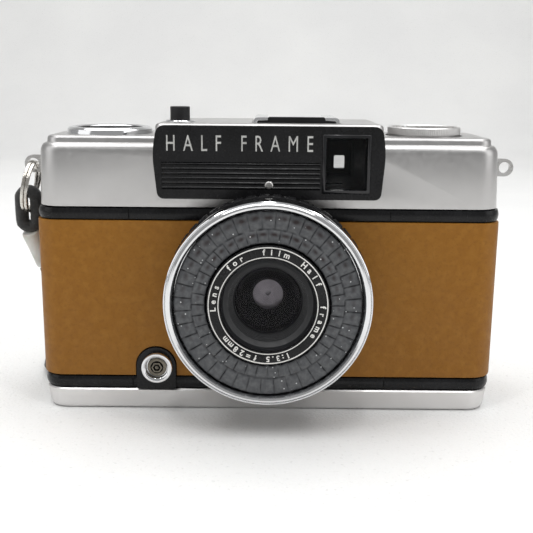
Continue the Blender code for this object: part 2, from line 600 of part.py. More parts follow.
def make_strap():
    """The split ring hangs from the left lug and carries the cord eye and the pale ferrule."""
    at = (-LUG[0], LUG[1], LUG[2])
    hinge = pivot("ring_swing", at)
    down = Vector((-math.sin(RING_TILT), 0.0, -math.cos(RING_TILT)))
    centre = Vector(at) + down * RING_R
    split = ring("split_ring", RING_R - 0.4, RING_R + 0.4, (-0.85, 0.85), centre, STEEL, "X", 32)
    split.rotation_euler.y += RING_TILT
    low = Vector(at) + down * (2 * RING_R)
    loop_x = 2.2
    top = [(x, z) for x, z in arc((low.x + 0.3, low.z + 3.4), loop_x, 0, 180, 8)]
    bottom = [(x, z) for x, z in arc((low.x + 0.3, low.z - 2.6), loop_x, 180, 360, 8)]
    eye = tube("strap_eye", [(x, 0.0, z) for x, z in top + bottom], 1.0, STRAP_BLACK, cyclic=True)
    upper = Vector((low.x + 0.1, 0.3, low.z - 6.2))
    lower = Vector(FERRULE_END)
    sleeve = tube("strap_ferrule", [upper, upper.lerp(lower, 0.5), lower], 2.4, PALE_PLASTIC)
    for obj in (split, eye, sleeve):
        hang(obj, hinge)
    tube("strap_cord", smooth_route(CORD_ROUTE, CORD_D * 2.4), CORD_D / 2, STRAP_BLACK)


make_chassis()
make_bottom_cover()
make_screws()
make_bands_and_leather()
make_top_cover()
make_front_plate()
make_finder()
make_back_door()
make_shutter_housing()
make_lens_rings()
make_cell_group()
make_optics()
make_blades()
make_sync_socket()
make_shutter_button()
make_hot_shoe()
make_counter()
make_rewind()
make_film_drive()
make_meter()
make_underside()
make_lug("left", -1)
make_lug("right", 1)
make_strap()
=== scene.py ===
"""Looks of the half frame camera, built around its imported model.

The frame is the model's own: X along the camera, Y from front to back, Z up, standing at Z = 0 with the lens
axis at X = 0.  Sizes are in millimetres and MM turns them into metres.
"""

import json
import math

import bmesh
import bpy
from mathutils import Matrix, Vector, noise


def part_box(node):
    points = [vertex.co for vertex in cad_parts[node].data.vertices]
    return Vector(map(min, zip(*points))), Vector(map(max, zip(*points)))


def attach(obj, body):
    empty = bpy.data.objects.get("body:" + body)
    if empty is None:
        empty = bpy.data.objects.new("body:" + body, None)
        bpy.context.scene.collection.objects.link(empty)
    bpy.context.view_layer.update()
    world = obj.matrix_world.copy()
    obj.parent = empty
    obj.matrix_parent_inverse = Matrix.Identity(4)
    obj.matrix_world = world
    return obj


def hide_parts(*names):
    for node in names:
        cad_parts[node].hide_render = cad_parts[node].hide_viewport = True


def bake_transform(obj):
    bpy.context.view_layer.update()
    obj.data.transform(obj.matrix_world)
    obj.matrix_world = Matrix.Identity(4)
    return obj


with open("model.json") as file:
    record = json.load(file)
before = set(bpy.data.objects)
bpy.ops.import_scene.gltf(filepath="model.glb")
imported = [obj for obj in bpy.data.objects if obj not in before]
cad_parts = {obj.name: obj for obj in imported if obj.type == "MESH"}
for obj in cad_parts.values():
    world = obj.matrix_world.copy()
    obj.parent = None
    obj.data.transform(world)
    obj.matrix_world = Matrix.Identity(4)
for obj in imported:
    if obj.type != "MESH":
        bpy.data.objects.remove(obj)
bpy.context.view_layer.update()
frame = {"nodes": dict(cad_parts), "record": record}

MM = 0.001


def span(node):
    """Lowest and highest corner of a CAD node, in millimetres."""
    low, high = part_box(node)
    return low / MM, high / MM


# ---------------------------------------------------------------- driving sizes, read from the frame

LEATHER_LOW, LEATHER_HIGH = span("front_leather")
SKIN_SWELL = 0.45      # how far the skins stand past the CAD model's leather at each end
HALF_LENGTH = LEATHER_HIGH.x + SKIN_SWELL
HALF_DEPTH = -LEATHER_LOW.y
BODY_END = LEATHER_HIGH.y
SKIN_END = BODY_END - 0.4
DOOR_START = span("back_leather")[0].y
CORNER = 5.5
BAND_STEP = 0.45
LENS_Z = (span("chrome_rim")[0].z + span("chrome_rim")[1].z) / 2
RIM_R = (span("chrome_rim")[1].x - span("chrome_rim")[0].x) / 2
LENS = (0.0, 0.0, LENS_Z)
COVER_LOW, COVER_HIGH = span("top_cover")
COVER_SWELL = 0.55
COVER_HALF = COVER_HIGH.x + COVER_SWELL
COVER_EDGE = 49.75     # bottom edge of the top cover
SHOULDER = 65.95       # its flat top at both ends
CROWN = COVER_HIGH.z
CROWN_HALF = 26.2


# ---------------------------------------------------------------- camera

def make_camera():
    """A 57 mm lens close in front of the object and above it, looking down a little."""
    data = bpy.data.cameras.new("view")
    data.lens = 56.66
    data.sensor_width = 36.0
    data.clip_start = 0.01
    camera = bpy.data.objects.new("view", data)
    bpy.context.scene.collection.objects.link(camera)
    down = Matrix.Rotation(math.radians(90.0 - 12.49), 4, "X")
    turn = Matrix.Rotation(math.radians(-0.014), 4, "Z")
    roll = Matrix.Rotation(math.radians(0.515), 4, "Z")
    camera.matrix_world = Matrix.Translation(Vector((-0.444, -208.125, 78.646)) * MM) @ turn @ down @ roll
    bpy.context.scene.camera = camera


make_camera()


# ---------------------------------------------------------------- materials

class Look:
    """A Principled material with noise in its colour and roughness and a chain of bumps."""

    def __init__(self, name, colour, roughness, metallic=0.0, **sockets):
        self.material = bpy.data.materials.new(name)
        self.material.use_nodes = True
        self.tree = self.material.node_tree
        self.shader = self.tree.nodes["Principled BSDF"]
        self.shader.inputs["Base Color"].default_value = (*colour, 1.0)
        self.shader.inputs["Roughness"].default_value = roughness
        self.shader.inputs["Metallic"].default_value = metallic
        for socket, value in sockets.items():
            self.shader.inputs[socket.replace("_", " ")].default_value = value
        self.colour = colour
        self.coords = self.tree.nodes.new("ShaderNodeTexCoord").outputs["Object"]
        self.normal = None

    def node(self, kind, **values):
        made = self.tree.nodes.new(kind)
        for key, value in values.items():
            if key in made.inputs:
                made.inputs[key].default_value = value
            else:
                setattr(made, key, value)
        return made

    def link(self, start, end):
        self.tree.links.new(start, end)

    def stretched(self, scale):
        """Object coordinates scaled unevenly, for grain that runs one way."""
        mapping = self.node("ShaderNodeMapping")
        mapping.inputs["Scale"].default_value = scale
        self.link(self.coords, mapping.inputs["Vector"])
        return mapping.outputs["Vector"]

    def noise(self, scale, detail=3.0, coords=None):
        made = self.node("ShaderNodeTexNoise", Scale=scale, Detail=detail)
        self.link(coords or self.coords, made.inputs["Vector"])
        return made.outputs["Fac"]

    def ramp(self, fac, low, high, start, end):
        made = self.node("ShaderNodeMapRange")
        for socket, value in (("From Min", low), ("From Max", high), ("To Min", start), ("To Max", end)):
            made.inputs[socket].default_value = value
        self.link(fac, made.inputs["Value"])
        return made.outputs["Result"]

    def tint(self, second, fac):
        """Mixes what the colour is so far towards a second colour."""
        mix = self.node("ShaderNodeMix", data_type="RGBA")
        socket = self.shader.inputs["Base Color"]
        if socket.is_linked:
            self.link(socket.links[0].from_socket, mix.inputs[6])
        else:
            mix.inputs[6].default_value = (*self.colour, 1.0)
        mix.inputs[7].default_value = (*second, 1.0)
        self.link(fac, mix.inputs[0])
        self.link(mix.outputs[2], socket)
        return self

    def patches(self, second, scale, low=0.35, high=0.65, most=1.0):
        return self.tint(second, self.ramp(self.noise(scale), low, high, 0.0, most))

    def uneven(self, scale, low, high, coords=None):
        """Roughness that wanders between two values."""
        self.link(self.ramp(self.noise(scale, coords=coords), 0.3, 0.7, low, high),
                  self.shader.inputs["Roughness"])
        return self

    def bump(self, height, depth_mm):
        made = self.node("ShaderNodeBump", Strength=1.0, Distance=depth_mm * MM)
        self.link(height, made.inputs["Height"])
        if self.normal:
            self.link(self.normal, made.inputs["Normal"])
        self.normal = made.outputs["Normal"]
        self.link(self.normal, self.shader.inputs["Normal"])
        return self

    def grain(self, scale, depth_mm, detail=3.0):
        return self.bump(self.noise(scale, detail), depth_mm)

    def cells(self, scale):
        made = self.node("ShaderNodeTexVoronoi", Scale=scale)
        self.link(self.coords, made.inputs["Vector"])
        return made.outputs["Distance"]


def satin_chrome(name, tone):
    look = Look(name, (tone, tone * 0.988, tone * 0.978), 0.34, 1.0)
    look.patches((tone * 0.92, tone * 0.905, tone * 0.895), 60.0)
    look.uneven(900.0, 0.30, 0.40)
    return look.grain(9000.0, 0.0035, 2.0).material


def bright_chrome():
    look = Look("bright_chrome", (0.74, 0.745, 0.755), 0.09, 1.0)
    look.uneven(500.0, 0.06, 0.14)
    return look.grain(700.0, 0.001).material


def brushed_steel():
    look = Look("brushed_steel", (0.55, 0.545, 0.535), 0.28, 1.0)
    look.patches((0.42, 0.41, 0.40), 400.0)
    along = look.stretched((300.0, 300.0, 3500.0))
    look.uneven(1.0, 0.2, 0.4, along)
    return look.bump(look.noise(1.0, 2.0, along), 0.004).material


def nickel():
    look = Look("nickel_plate", (0.62, 0.60, 0.56), 0.2, 1.0)
    look.patches((0.40, 0.37, 0.33), 500.0, 0.45, 0.75)
    look.uneven(900.0, 0.14, 0.34)
    return look.grain(1500.0, 0.006).material


def black_enamel():
    look = Look("black_enamel", (0.006, 0.006, 0.0065), 0.24, Specular_IOR_Level=0.22)
    look.patches((0.010, 0.010, 0.011), 150.0)
    look.uneven(700.0, 0.18, 0.34)
    return look.grain(1400.0, 0.002).material


def matt_black():
    look = Look("matt_black", (0.006, 0.006, 0.0065), 0.52, Specular_IOR_Level=0.15)
    look.patches((0.011, 0.011, 0.012), 300.0)
    look.uneven(800.0, 0.42, 0.6)
    return look.grain(5000.0, 0.006, 2.0).material


def black_casting():
    look = Look("black_casting", (0.018, 0.018, 0.019), 0.5, 0.3)
    look.patches((0.032, 0.032, 0.033), 120.0)
    look.uneven(600.0, 0.4, 0.62)
    return look.bump(look.cells(2600.0), 0.02).material


def black_plastic():
    look = Look("black_plastic", (0.008, 0.008, 0.0085), 0.36, Specular_IOR_Level=0.28)
    look.patches((0.013, 0.013, 0.014), 200.0)
    look.uneven(900.0, 0.3, 0.45)
    return look.grain(3500.0, 0.004, 2.0).material


def tan_leather():
    """Smooth calf: slow changes of tone, a fine pebble, pores and a few creases."""
    look = Look("tan_leather", (0.255, 0.108, 0.013), 0.55, Specular_IOR_Level=0.22)
    look.patches((0.215, 0.084, 0.010), 38.0, 0.3, 0.7, 0.35)
    look.patches((0.30, 0.136, 0.020), 450.0, 0.45, 0.7, 0.6)
    look.patches((0.20, 0.080, 0.012), 1100.0, 0.5, 0.7, 0.5)
    pores = look.cells(1500.0)
    look.tint((0.15, 0.056, 0.008), look.ramp(pores, 0.0, 0.22, 0.5, 0.0))
    look.uneven(420.0, 0.42, 0.6)
    look.bump(look.ramp(pores, 0.0, 0.5, 0.0, 1.0), 0.018)
    look.grain(1100.0, 0.03, 6.0)
    return look.grain(160.0, 0.05, 2.0).material


def cell_plastic():
    """Clear pebbled plastic over the dark cell: grey, with painted shade in the seams, a painted brown shade
    where the cell shows through and white specks that are painted glints.
    """
    look = Look("cell_plastic", (0.070, 0.073, 0.078), 0.4, Specular_IOR_Level=0.3)
    look.patches((0.105, 0.108, 0.112), 900.0, 0.4, 0.65)
    shade = look.node("ShaderNodeAttribute")
    shade.attribute_name = "shade"
    parts = look.node("ShaderNodeSeparateColor")
    look.link(shade.outputs["Color"], parts.inputs["Color"])
    # Green of the shade attribute: painted brown shade where the cell shows through, high in each lenslet.
    look.tint((0.020, 0.012, 0.012), look.ramp(parts.outputs["Green"], 0.1, 0.75, 0.0, 0.92))
    # Red of the shade attribute: painted shade in the seams between lenslets.
    look.tint((0.008, 0.008, 0.010), look.ramp(parts.outputs["Red"], 0.1, 0.75, 0.0, 0.95))
    # White specks: painted glints on the pebbled plastic.
    painted_glints = look.cells(640.0)
    look.tint((0.62, 0.63, 0.64), look.ramp(painted_glints, 0.07, 0.12, 0.85, 0.0))
    look.uneven(1500.0, 0.3, 0.5)
    look.bump(look.cells(2600.0), 0.045)
    return look.grain(2000.0, 0.03, 3.0).material


def clear_glass(name, colour, alpha, shine):
    """A thin coated pane: mostly see-through, with a clear reflection over it."""
    look = Look(name, colour, 0.03, Alpha=alpha, Specular_IOR_Level=shine)
    look.uneven(300.0, 0.01, 0.06)
    return look.material


def bore_black():
    look = Look("bore_black", (0.002, 0.002, 0.0025), 0.35, Specular_IOR_Level=0.25)
    look.patches((0.004, 0.004, 0.005), 200.0)
    return look.uneven(150.0, 0.3, 0.4).material


def gloss_black():
    look = Look("gloss_black", (0.006, 0.006, 0.007), 0.14)
    look.patches((0.010, 0.010, 0.012), 200.0)
    return look.uneven(400.0, 0.10, 0.2).material


def plain(name, colour, roughness, metallic=0.0):
    """Painted or moulded pieces that are only glimpsed: light mottling and a fine bump."""
    look = Look(name, colour, roughness, metallic)
    look.patches(tuple(c * 0.78 for c in colour), 350.0)
    look.uneven(800.0, roughness * 0.85, min(1.0, roughness * 1.25))
    return look.grain(2500.0, 0.003).material


def braid():
    look = Look("black_braid", (0.012, 0.012, 0.012), 0.8, Sheen_Weight=0.25, Sheen_Roughness=0.5)
    look.patches((0.028, 0.028, 0.027), 900.0)
    look.uneven(1500.0, 0.7, 0.9)
    return look.grain(6000.0, 0.05, 2.0).material


def pale_sleeve():
    look = Look("pale_sleeve", (0.60, 0.60, 0.57), 0.38, Subsurface_Weight=0.1, Subsurface_Scale=0.001)
    look.patches((0.50, 0.49, 0.45), 260.0, 0.45, 0.75)
    look.uneven(500.0, 0.3, 0.5)
    return look.grain(900.0, 0.015, 4.0).material


# Two copies of one satin metal, toned as painted light and shade: the darker on the top cover, the lighter
# on the bottom cover and the rewind knob.
SATIN = satin_chrome("satin_chrome", 0.52)
SATIN_PAINTED_LIGHT = satin_chrome("satin_chrome_painted_light", 0.74)
CHROME = bright_chrome()
STEEL = brushed_steel()
NICKEL = nickel()
ENAMEL = black_enamel()
MATT = matt_black()
CASTING = black_casting()
PLASTIC = black_plastic()
LEATHER = tan_leather()
CELL = cell_plastic()
GLASS = clear_glass("lens_glass", (0.003, 0.002, 0.006), 0.12, 0.6)
PANE = clear_glass("window_glass", (0.004, 0.005, 0.006), 0.10, 0.5)
WHITE = plain("white_paint", (0.78, 0.77, 0.74), 0.45)
SILVER_INK = plain("silver_letters", (0.62, 0.62, 0.60), 0.3, 0.6)
DIAL_BLACK = plain("dial_black", (0.016, 0.016, 0.017), 0.4)
RED = plain("red_flag", (0.42, 0.018, 0.015), 0.35)
BRASS = plain("brass", (0.55, 0.41, 0.19), 0.35, 1.0)
BLADE = plain("blade_steel", (0.46, 0.42, 0.47), 0.45, 0.2)
SELENIUM = plain("selenium", (0.045, 0.035, 0.045), 0.4, 0.3)
BARREL = plain("barrel_black", (0.012, 0.0125, 0.014), 0.42)
BORE = bore_black()
GLOSS = gloss_black()
AGED = plain("aged_nickel", (0.20, 0.18, 0.145), 0.35, 0.9)
BRAID = braid()
SLEEVE = pale_sleeve()

# The finish slot that each material fills.
SLOTS = {
    "satin_metal": (SATIN, SATIN_PAINTED_LIGHT),
    "chrome": (CHROME, AGED),
    "steel": (STEEL, NICKEL, SILVER_INK),
    "black_paint": (ENAMEL, DIAL_BLACK, BARREL, BORE),
    "black_casting": (CASTING, MATT),
    "black_plastic": (PLASTIC, GLOSS),
    "tan_leather": (LEATHER,),
    "cell_window": (CELL,),
    "lens_glass": (GLASS, PANE),
    "dial_white": (WHITE,),
    "flag_red": (RED,),
    "brass": (BRASS,),
    "strap_cord": (BRAID,),
    "strap_ferrule": (SLEEVE,),
}
SLOT_OF = {material.name: slot for slot, materials in SLOTS.items() for material in materials}


# ---------------------------------------------------------------- mesh tools

def add(name, bm, look, replaced=None, body="camera_body", slot=None, sharp=32.0):
    """Makes a shown piece of a mesh in millimetres; replaced is the CAD node that it stands in for."""
    bmesh.ops.recalc_face_normals(bm, faces=bm.faces)
    bmesh.ops.scale(bm, verts=bm.verts, vec=(MM, MM, MM))
    mesh = bpy.data.meshes.new(name)
    bm.to_mesh(mesh)
    bm.free()
    mesh.materials.append(look)
    mesh.shade_smooth()
    mesh.set_sharp_from_angle(angle=math.radians(sharp))
    obj = bpy.data.objects.new(name, mesh)
    bpy.context.scene.collection.objects.link(obj)
    if body:
        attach(obj, body)
    slot = slot or SLOT_OF.get(look.name)
    if replaced:
        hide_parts(replaced)
    return obj


def fillet(points, radius, steps=4, closed=False):
    """Rounds the corners of a line of points; radius is one number, or one for each corner."""
    count = len(points)
    made = []
    for i, point in enumerate(points):
        r = radius[i] if isinstance(radius, (list, tuple)) else radius
        if r <= 0 or (not closed and i in (0, count - 1)):
            made.append(tuple(point))
            continue
        here = Vector(point)
        back = Vector(points[i - 1]) - here
        on = Vector(points[(i + 1) % count]) - here
        start = here + back.normalized() * min(r, back.length * 0.48)
        end = here + on.normalized() * min(r, on.length * 0.48)
        for k in range(steps + 1):
            t = k / steps
            made.append(tuple(start * (1 - t) ** 2 + here * (2 * t * (1 - t)) + end * t * t))
    return made


def bridge(bm, rings, around=True, cap=True):
    """Faces between rows of vertices with the same count; around joins each row's end to its start."""
    for low, high in zip(rings, rings[1:]):
        count = len(low)
        for j in range(count if around else count - 1):
            k = (j + 1) % count
            corners = [low[j], low[k], high[k], high[j]]
            corners = [v for i, v in enumerate(corners) if v not in corners[:i]]
            if len(corners) > 2:
                bm.faces.new(corners)
    if cap:
        for row in (rings[0], rings[-1]):
            if len(set(row)) > 2:
                bm.faces.new(row)


def turned(profile, centre, axis="Z", segments=96, closed=False, shape=None):
    """Turns (radius, height) points about Z, or about the lens direction with heights counted forward."""
    bm = bmesh.new()
    rings = []
    for radius, height in profile:
        row = []
        for j in range(segments):
            angle = 2 * math.pi * j / segments
            r, h = shape(radius, height, angle) if shape and radius > 1e-6 else (radius, height)
            if axis == "Z":
                row.append((centre[0] + r * math.cos(angle), centre[1] + r * math.sin(angle), centre[2] + h))
            else:
                row.append((centre[0] + r * math.cos(angle), centre[1] - h, centre[2] + r * math.sin(angle)))
        if radius < 1e-6:
            rings.append([bm.verts.new(row[0])] * segments)
        else:
            rings.append([bm.verts.new(p) for p in row])
    if closed:
        rings.append(rings[0])
    bridge(bm, rings, cap=False)
    return bm


def rod(radius, ends, centre, segments, axis="Z"):
    """A plain cylinder between two heights, mostly to cut a round hole with."""
    low, high = ends
    return turned([(0.0, high), (radius, high), (radius, low), (0.0, low)], centre, axis, segments)


def lens_ring(profile, segments=128, shape=None):
    """A ring about the lens axis, closed in section."""
    return turned(profile, LENS, "FRONT", segments, closed=True, shape=shape)


def rounded_rectangle(half_x, half_y, corner, inset, steps=10):
    """Outline of a rectangle with round corners, drawn in by the inset."""
    r = max(corner - inset, 0.05)
    x, y = half_x - inset - r, half_y - inset - r
    outline = []
    for cx, cy, start in ((x, y, 0), (-x, y, 90), (-x, -y, 180), (x, -y, 270)):
        for k in range(steps + 1):
            a = math.radians(start + 90 * k / steps)
            outline.append((cx + r * math.cos(a), cy + r * math.sin(a)))
    return outline


def stack(half_x, half_y, corner, levels, centre=(0.0, 0.0), steps=10):
    """A solid with rounded corners whose outline shrinks by an inset at each (inset, z) level."""
    bm = bmesh.new()
    rings = []
    for inset, z in levels:
        outline = rounded_rectangle(half_x, half_y, corner, inset, steps)
        rings.append([bm.verts.new((centre[0] + x, centre[1] + y, z)) for x, y in outline])
    bridge(bm, rings)
    return bm


def box(x, y, z, edge=0.0):
    """A block between pairs of limits, with its edges rounded by edge."""
    bm = bmesh.new()
    bmesh.ops.create_cube(bm, size=1.0)
    bmesh.ops.scale(bm, verts=bm.verts, vec=(x[1] - x[0], y[1] - y[0], z[1] - z[0]))
    bmesh.ops.translate(bm, verts=bm.verts, vec=(sum(x) / 2, sum(y) / 2, sum(z) / 2))
    if edge:
        bmesh.ops.bevel(bm, geom=bm.edges[:], offset=edge, segments=3, profile=0.5, affect="EDGES")
    return bm


def extruded(outline, span_mm, axis="Y", edge=0.0, segments=3):
    """A prism over an outline: (x, z) points along Y, (x, y) points along Z or (y, z) points along X."""
    bm = bmesh.new()
    rows = []
    for d in span_mm:
        if axis == "Y":
            rows.append([bm.verts.new((a, d, b)) for a, b in outline])
        elif axis == "Z":
            rows.append([bm.verts.new((a, b, d)) for a, b in outline])
        else:
            rows.append([bm.verts.new((d, a, b)) for a, b in outline])
    bridge(bm, rows)
    if edge:
        rim = [e for e in bm.edges if e.calc_face_angle(0.0) > math.radians(60)]
        bmesh.ops.bevel(bm, geom=rim, offset=edge, segments=segments, profile=0.5, affect="EDGES")
    return bm


def skirt(section, end_y, back=False):
    """A strip of an (inset, z) section that runs from one end of the camera round its front or back."""
    steps = 10
    turn = -1.0 if back else 1.0
    bm = bmesh.new()
    rows = []
    for inset, z in section:
        r = max(CORNER - inset, 0.05)
        x, y = HALF_LENGTH - inset - r, HALF_DEPTH - inset - r
        path = [(-HALF_LENGTH + inset, end_y)]
        for cx, start in ((-x, 180), (x, 270)):
            for k in range(steps + 1):
                a = math.radians(start + 90 * k / steps)
                path.append((cx + r * math.cos(a), turn * (-y + r * math.sin(a))))
        path.append((HALF_LENGTH - inset, end_y))
        rows.append([bm.verts.new((px, py, z)) for px, py in path])
    rows.append(rows[0])
    bridge(bm, rows, around=False, cap=False)
    bm.faces.new([row[0] for row in rows[:-1]])
    bm.faces.new([row[-1] for row in rows[:-1]])
    return bm


def helper(bm):
    """A hidden object for a Boolean, which is removed once used."""
    bmesh.ops.recalc_face_normals(bm, faces=bm.faces)
    bmesh.ops.scale(bm, verts=bm.verts, vec=(MM, MM, MM))
    mesh = bpy.data.meshes.new("helper")
    bm.to_mesh(mesh)
    bm.free()
    obj = bpy.data.objects.new("helper", mesh)
    bpy.context.scene.collection.objects.link(obj)
    return obj


def combine(bm, cutters=(), joined=()):
    """Cuts and joins meshes in millimetres, and gives the result as one mesh in millimetres."""
    target = helper(bm)
    others = []
    for kind, meshes in (("UNION", joined), ("DIFFERENCE", cutters)):
        for other in meshes:
            tool = helper(other)
            others.append(tool)
            modifier = target.modifiers.new("cut", "BOOLEAN")
            modifier.operation = kind
            modifier.object = tool
    bpy.context.view_layer.update()
    seen = target.evaluated_get(bpy.context.evaluated_depsgraph_get())
    result = bmesh.new()
    result.from_mesh(seen.to_mesh())
    seen.to_mesh_clear()
    bmesh.ops.scale(result, verts=result.verts, vec=(1 / MM, 1 / MM, 1 / MM))
    for obj in [target, *others]:
        bpy.data.objects.remove(obj, do_unlink=True)
    return result


def merged(*meshes):
    """Several meshes in millimetres as one."""
    bm = bmesh.new()
    for other in meshes:
        scratch = bpy.data.meshes.new("scratch")
        other.to_mesh(scratch)
        other.free()
        bm.from_mesh(scratch)
        bpy.data.meshes.remove(scratch)
    return bm


def placed(bm, place):
    """Moves every point of a mesh by a rule for its (x, y, z)."""
    for v in bm.verts:
        v.co = Vector(place(*v.co))
    return bm


def cross_cut(x, y, reach, half_width, z):
    """Two crossed blocks that cut the slots of a screw's head."""
    long, short = (-reach, reach), (-half_width, half_width)
    return [box((x + a[0], x + a[1]), (y + b[0], y + b[1]), z) for a, b in ((long, short), (short, long))]


def letters(body, height, place, depth=0.12, narrow=1.0, gap=1.0, bold=0.0):
    """Flat raised lettering: place maps the text's own (x, y, z) in millimetres to the frame."""
    curve = bpy.data.curves.new("text", "FONT")
    curve.body = body
    curve.size = height / 0.7
    curve.space_character = gap
    curve.align_x = "CENTER"
    curve.align_y = "CENTER"
    curve.extrude = depth / 2
    curve.offset = bold
    curve.resolution_u = 4
    obj = bpy.data.objects.new("text", curve)
    bpy.context.scene.collection.objects.link(obj)
    bpy.context.view_layer.update()
    mesh = bpy.data.meshes.new_from_object(obj.evaluated_get(bpy.context.evaluated_depsgraph_get()))
    bpy.data.objects.remove(obj, do_unlink=True)
    bm = bmesh.new()
    bm.from_mesh(mesh)
    bmesh.ops.remove_doubles(bm, verts=bm.verts, dist=1e-5)
    return placed(bm, lambda x, y, z: place(x * narrow, y, z))


def swept(path, section, closed=False, across=None, shape=None):
    """Carries a closed (u, v) section along a path; across fixes the direction of v, and shape scales it."""
    points = [Vector(p) for p in path]
    count = len(points)
    bm = bmesh.new()
    rings = []
    side = None
    travelled = 0.0
    for i, here in enumerate(points):
        back = points[i - 1] if closed or i else here
        on = points[(i + 1) % count] if closed or i < count - 1 else here
        along = (on - back).normalized()
        if i:
            travelled += (here - points[i - 1]).length
        if across is not None:
            side = Vector(across)
        elif side is None:
            side = along.orthogonal()
        side = (side - along * side.dot(along)).normalized()
        up = along.cross(side)
        row = []
        for j, (u, v) in enumerate(section):
            k = shape(travelled, j) if shape else 1.0
            row.append(bm.verts.new(here + up * (u * k) + side * (v * k)))
        rings.append(row)
    if closed:
        rings.append(rings[0])
    bridge(bm, rings, cap=not closed)
    return bm


def circle(radius, sides):
    """A circle as a section to carry along a path."""
    return [(radius * math.cos(2 * math.pi * j / sides), radius * math.sin(2 * math.pi * j / sides))
            for j in range(sides)]


def smooth_route(points, spacing, closed=False):
    """Catmull-Rom curve through the points, with a point about every spacing millimetres."""
    if closed:
        ends = [Vector(p) for p in (points[-1], *points, points[0], points[1])]
    else:
        ends = [2 * Vector(points[0]) - Vector(points[1])]
        ends += [Vector(p) for p in points]
        ends.append(2 * Vector(points[-1]) - Vector(points[-2]))
    route = []
    for a, b, c, d in zip(ends, ends[1:], ends[2:], ends[3:]):
        steps = max(1, round((c - b).length / spacing))
        for i in range(steps):
            t = i / steps
            route.append(0.5 * (2 * b + (c - a) * t + (2 * a - 5 * b + 4 * c - d) * t * t
                                + (3 * b - a - 3 * c + d) * t ** 3))
    if not closed:
        route.append(ends[-2])
    return route


def braided(path, radius, closed=False, sides=24, strands=3, lay=1.5, relief=0.11):
    """A braided cord: two sets of strands wind opposite ways and show as crossing ridges."""
    def shape(distance, j):
        around = strands * 2 * math.pi * j / sides
        along = math.pi * distance / lay
        ridge = max(abs(math.cos(around + along)), abs(math.cos(around - along)))
        return 1.0 - relief * (1.0 - ridge)
    return swept(path, circle(radius, sides), closed, shape=shape)


def lofted(start, end, profile, flat=1.0, sides=40):
    """A round body between two points from (radius, share of the way) pairs, flattened across."""
    start, end = Vector(start), Vector(end)
    along = (end - start).normalized()
    side = along.cross(Vector((0.0, 1.0, 0.0))).normalized()
    up = side.cross(along)
    bm = bmesh.new()
    rings = []
    for radius, share in profile:
        middle = start.lerp(end, share)
        rings.append([bm.verts.new(middle + side * u + up * (v * flat)) for u, v in circle(radius, sides)])
    bridge(bm, rings)
    return bm


def middle(node):
    """Centre of a CAD node, in millimetres."""
    low, high = span(node)
    return (low + high) / 2


def dress(look, *nodes):
    """Gives carried-over CAD nodes a material."""
    for node in nodes:
        mesh = frame["nodes"][node].data
        mesh.materials.clear()
        mesh.materials.append(look)


JOINTS = {joint["name"]: joint for joint in frame["record"]["behaviour"]["joints"]}


def pivot(joint):
    """Place of a joint, in millimetres."""
    return Vector(JOINTS[joint]["pos_m"]) / MM


# ---------------------------------------------------------------- strap, with its cord

CORD_D = 2.4
CORD_ROUTE = [
    (-57.5, 2.65, 31.2), (-57.0, 3.1, 28.0), (-56.7, 3.3, 22.0), (-56.7, 3.3, 15.0), (-56.8, 3.6, 8.5),
    (-57.1, 5.6, 3.8), (-57.3, 10.0, 1.7), (-56.8, 19.0, 1.5), (-52.0, 29.0, 1.5), (-40.0, 35.5, 1.5),
    (-24.0, 36.5, 1.5), (-8.0, 34.0, 1.5), (8.0, 33.0, 1.5), (24.0, 35.5, 1.5), (36.0, 41.0, 1.5),
    (41.0, 49.0, 1.5), (36.0, 57.0, 1.5), (24.0, 60.5, 1.5), (8.0, 59.0, 1.5), (-8.0, 55.5, 1.5),
    (-24.0, 53.5, 1.5), (-40.0, 51.5, 1.5), (-53.0, 45.0, 1.5), (-60.0, 33.0, 1.5), (-61.4, 20.0, 1.5),
    (-60.2, 12.0, 1.8), (-58.7, 7.4, 4.0), (-57.8, 6.2, 8.5), (-57.2, 6.1, 15.0), (-57.0, 6.1, 22.0),
    (-57.1, 5.8, 28.0), (-57.4, 5.25, 31.2),
]
RING_R = 6.1
RING_TILT = math.radians(9.9)
FERRULE_END = Vector((-57.5, 3.9, 32.1))


